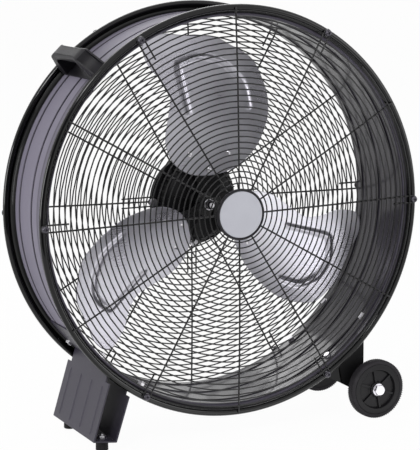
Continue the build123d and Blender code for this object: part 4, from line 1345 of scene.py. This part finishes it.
plate_up = Vector((-sin(PLATE_TILT), cos(PLATE_TILT), 0))
seat = Vector((FOOT_X, PLATE_LOW, 0)) + plate_up * LEG_SHEET
spots = [aimed(seat + Vector((0, 0, forward)), plate_up, forward) for forward in (-FOOT_AT, FOOT_AT)]
foot_nuts = finished("foot_hex_nuts", fastened(hex_nut(7.5, 5.5), spots, bright_steel), bright_steel, 25)
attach(foot_nuts, "body")
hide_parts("foot_nuts")


# ---------------------------------------------------------------- wheels
# Moulded grey-black discs with six ribs in a recess, in solid rubber tyres with a notched
# shoulder, on a long bolt whose pale hex head and nut stand at either end.
WHEEL_BACK, WHEEL_FACE = 95.0, 112.7
BORE = 6.1
RIM = 44.0
TREAD = 51.4
WHEEL_SIDE = 113.0
AXLE_HEAD = 9.8
AXLE_END = 121.5
SLEEVE_END = 94.7
LUG_LONG = 5.4

wheel_look = clouded((14, 13, 15), (24, 23, 26), (40.0, 4.0), (1000.0,), (0.28, 0.16, 0.0), (0.0002, 0.3))
wheel_plastic = surface("moulded wheel plastic", wheel_look, {"Specular IOR Level": 0.2})
tyre_look = dusty((30, 28, 32), (58, 55, 59), (70.0, 5.0), 0.45, 0.25, (420.0, 4.0), (0.6, 0.22))
tyre_rubber = surface("tyre rubber", tyre_look, {"Specular IOR Level": 0.25})
for side, place, across in (("front", FAN, AXLE.x), ("rear", BEHIND, -AXLE.x)):
    place = place @ Matrix.Translation((across, AXLE.y, 0))
    form = bmesh.new()
    disc = arc((RIM - 1.4, -1.6), 1.4, 0, 90, 4) + [(35.6, -0.2), (34.4, -0.9), (33, -5), (32, -6), (15, -6)]
    disc = [(RIM, -2)] + disc + [(13.6, -5), (13, -1), (12.2, 0), (BORE, 0)]
    back = [(BORE, WHEEL_BACK), (RIM - 1, WHEEL_BACK), (RIM, WHEEL_BACK + 1)]
    turned(form, back + lifted(WHEEL_FACE, disc), 72)
    rib = [(12, -1.9), (33.6, -1.9), (33.6, 1.9), (12, 1.9)]
    bars(form, rib, WHEEL_FACE - 6.5, WHEEL_FACE - 2.6, 0.7, 6, radians(40), wheel_plastic)
    wheel = finished(f"{side}_wheel_disc", form, wheel_plastic, 30, place)
    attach(wheel, f"{side}_wheel_body")
    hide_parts(f"{side}_wheel")
    form = bmesh.new()
    low, high = WHEEL_BACK + 0.5, WHEEL_FACE - 0.2
    shoulder = [(47, 0), (49.6, 0.9), (51, 3), (TREAD, 6)]
    tread = [(RIM, low)] + lifted(low, shoulder) + [(r, high - up) for r, up in shoulder[::-1]]
    turned(form, tread + [(RIM + 0.6, high), (RIM, high - 0.6)], 96)
    notches = bmesh.new()
    for foot in (low + 1.2, high - 1.2 - LUG_LONG):
        prism(notches, [(49.6, -0.8), (51.1, -0.6), (51.1, 0.6), (49.6, 0.8)], foot, foot + LUG_LONG)
    form.from_mesh(grown(copies, tyre_rubber, mesh_of(notches), Count=84, First=0.0))
    tyre = finished(f"{side}_solid_tyre", form, tyre_rubber, 30, place)
    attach(tyre, f"{side}_wheel_body")
    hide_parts(f"{side}_tyre")

on_axle = Matrix.Translation((*AXLE, 0))
form = bmesh.new()
bolt = [(0, -AXLE_END), (5.4, -AXLE_END), (6, 0.6 - AXLE_END), (6, WHEEL_SIDE), (0, WHEEL_SIDE)]
turned(form, bolt, 24, on_axle, looped=False)
turned(form, lifted(WHEEL_SIDE, [(0, 0), (10.6, 0), (10.6, 1.2), (0, 1.2)]), 32, on_axle, looped=False)
hexagon(form, AXLE_HEAD, WHEEL_SIDE + 1.2, AXLE_END, 0.0, on_axle)
axle = finished("axle_bolt", form, bright_steel, 25)
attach(axle, "body")
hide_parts("wheel_axle")

form = bmesh.new()
hexagon(form, AXLE_HEAD, WHEEL_SIDE, AXLE_END - 0.6, BORE - 0.05, Matrix.Translation((-AXLE.x, AXLE.y, 0)))
nut = finished("axle_hex_nut", form, bright_steel, 25, BEHIND)
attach(nut, "body")
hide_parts("axle_nut")

form = bmesh.new()
for low, high in ((NECK, SLEEVE_END), (-SLEEVE_END, -NECK)):
    sleeve = [(BORE, low), (8.7, low), (9, low + 0.4), (9, high - 0.4), (8.7, high), (BORE, high)]
    turned(form, sleeve, 32, on_axle)
spacers = finished("axle_sleeves", form, bright_steel)
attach(spacers, "body")
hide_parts("axle_spacers")


# ---------------------------------------------------------------- handle
# One black moulding over the drum: a level grip between two sloping legs, which are hollowed
# on their outer faces, and a thin base plate curved to the drum. Two screws from inside.
AT_GRIP = Matrix.Rotation(radians(133.4), 4, "Z")
HANDLE_HALF = 14.0
HANDLE_STATIONS = (
    # outer radius, forward, inner radius, forward, half width, hollow, corner
    (375.5, 0.0, 361.5, 0.0, 12.0, 0.0, 4.5),
    (375.5, 30.0, 361.5, 28.0, 12.0, 0.0, 4.5),
    (375.4, 43.0, 361.5, 40.5, 12.2, 0.0, 4.0),
    (374.7, 50.5, 361.4, 44.5, 13.0, 0.0, 3.0),
    (372.4, 56.6, 360.2, 47.6, 13.8, 0.2, 2.0),
    (369.6, 59.8, 357.2, 49.6, HANDLE_HALF, 5.0, 1.4),
    (359.5, 67.6, 349.8, 53.0, HANDLE_HALF, 7.5, 1.2),
    (350.0, 75.6, 341.4, 56.8, HANDLE_HALF, 7.5, 1.2),
    (344.6, 80.2, 335.6, 59.4, HANDLE_HALF, 4.5, 1.2),
    (341.0, 82.8, 332.4, 60.8, HANDLE_HALF, 0.3, 1.6),
    (336.0, 82.9, 330.0, 61.8, HANDLE_HALF, 0.0, 1.6),
    (331.5, 79.4, 328.6, 62.2, HANDLE_HALF, 0.0, 1.6),
    (327.4, 79.2, 327.4, 62.4, HANDLE_HALF, 0.0, 1.6),
)


def handle_section(form, station, side):
    """The moulding's section at a station, its outer face hollowed between two rims."""
    out_r, out_f, in_r, in_f, half, hollow, corner = station
    top = Vector((out_r, 0, out_f * side))
    low = Vector((in_r, 0, in_f * side))
    depth = (low - top).length
    down = (low - top).normalized()
    flat = [(half, -corner)] + [(half - corner * (1 - cos(a)), -corner * (1 - sin(a))) for a in (0.5, 1.0)]
    flat += [(half - corner, 0), (half - 3.0, 0), (half - 3.8, -hollow)]
    under = [(-half, corner - depth), (-half + 0.3 * corner, 0.3 * corner - depth), (-half + corner, -depth)]
    face = flat + [(-y, z) for y, z in flat[::-1]] + under + [(-y, z) for y, z in under[::-1]]
    return [form.verts.new(top + Vector((0, y, 0)) - down * z) for y, z in face]


form = bmesh.new()
sections = [handle_section(form, station, -1) for station in HANDLE_STATIONS[:0:-1]]
capped(form, sections + [handle_section(form, station, 1) for station in HANDLE_STATIONS])
spread = degrees(asin(HANDLE_HALF / WALL))
base = arc((0, 0), WALL + 0.1, -spread, spread, 6) + arc((0, 0), WALL + 2.5, spread, -spread, 6)
prism(form, base, -NECK, NECK)
handle = finished("moulded_handle", form, black_plastic, 32, FAN @ AT_GRIP)
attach(handle, "body")
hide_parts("handle")

spots = [AT_GRIP @ aimed((WALL - WALL_SHEET, 0, forward), (-1, 0, 0), 0.4) for forward in (-71, 71)]
form = fastened(cross_head(5.0, 2.4, 12.0, 2.2), spots, black_screw)
screws = finished("handle_pan_screws", form, black_screw, 30)
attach(screws, "body")
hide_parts("handle_screws")
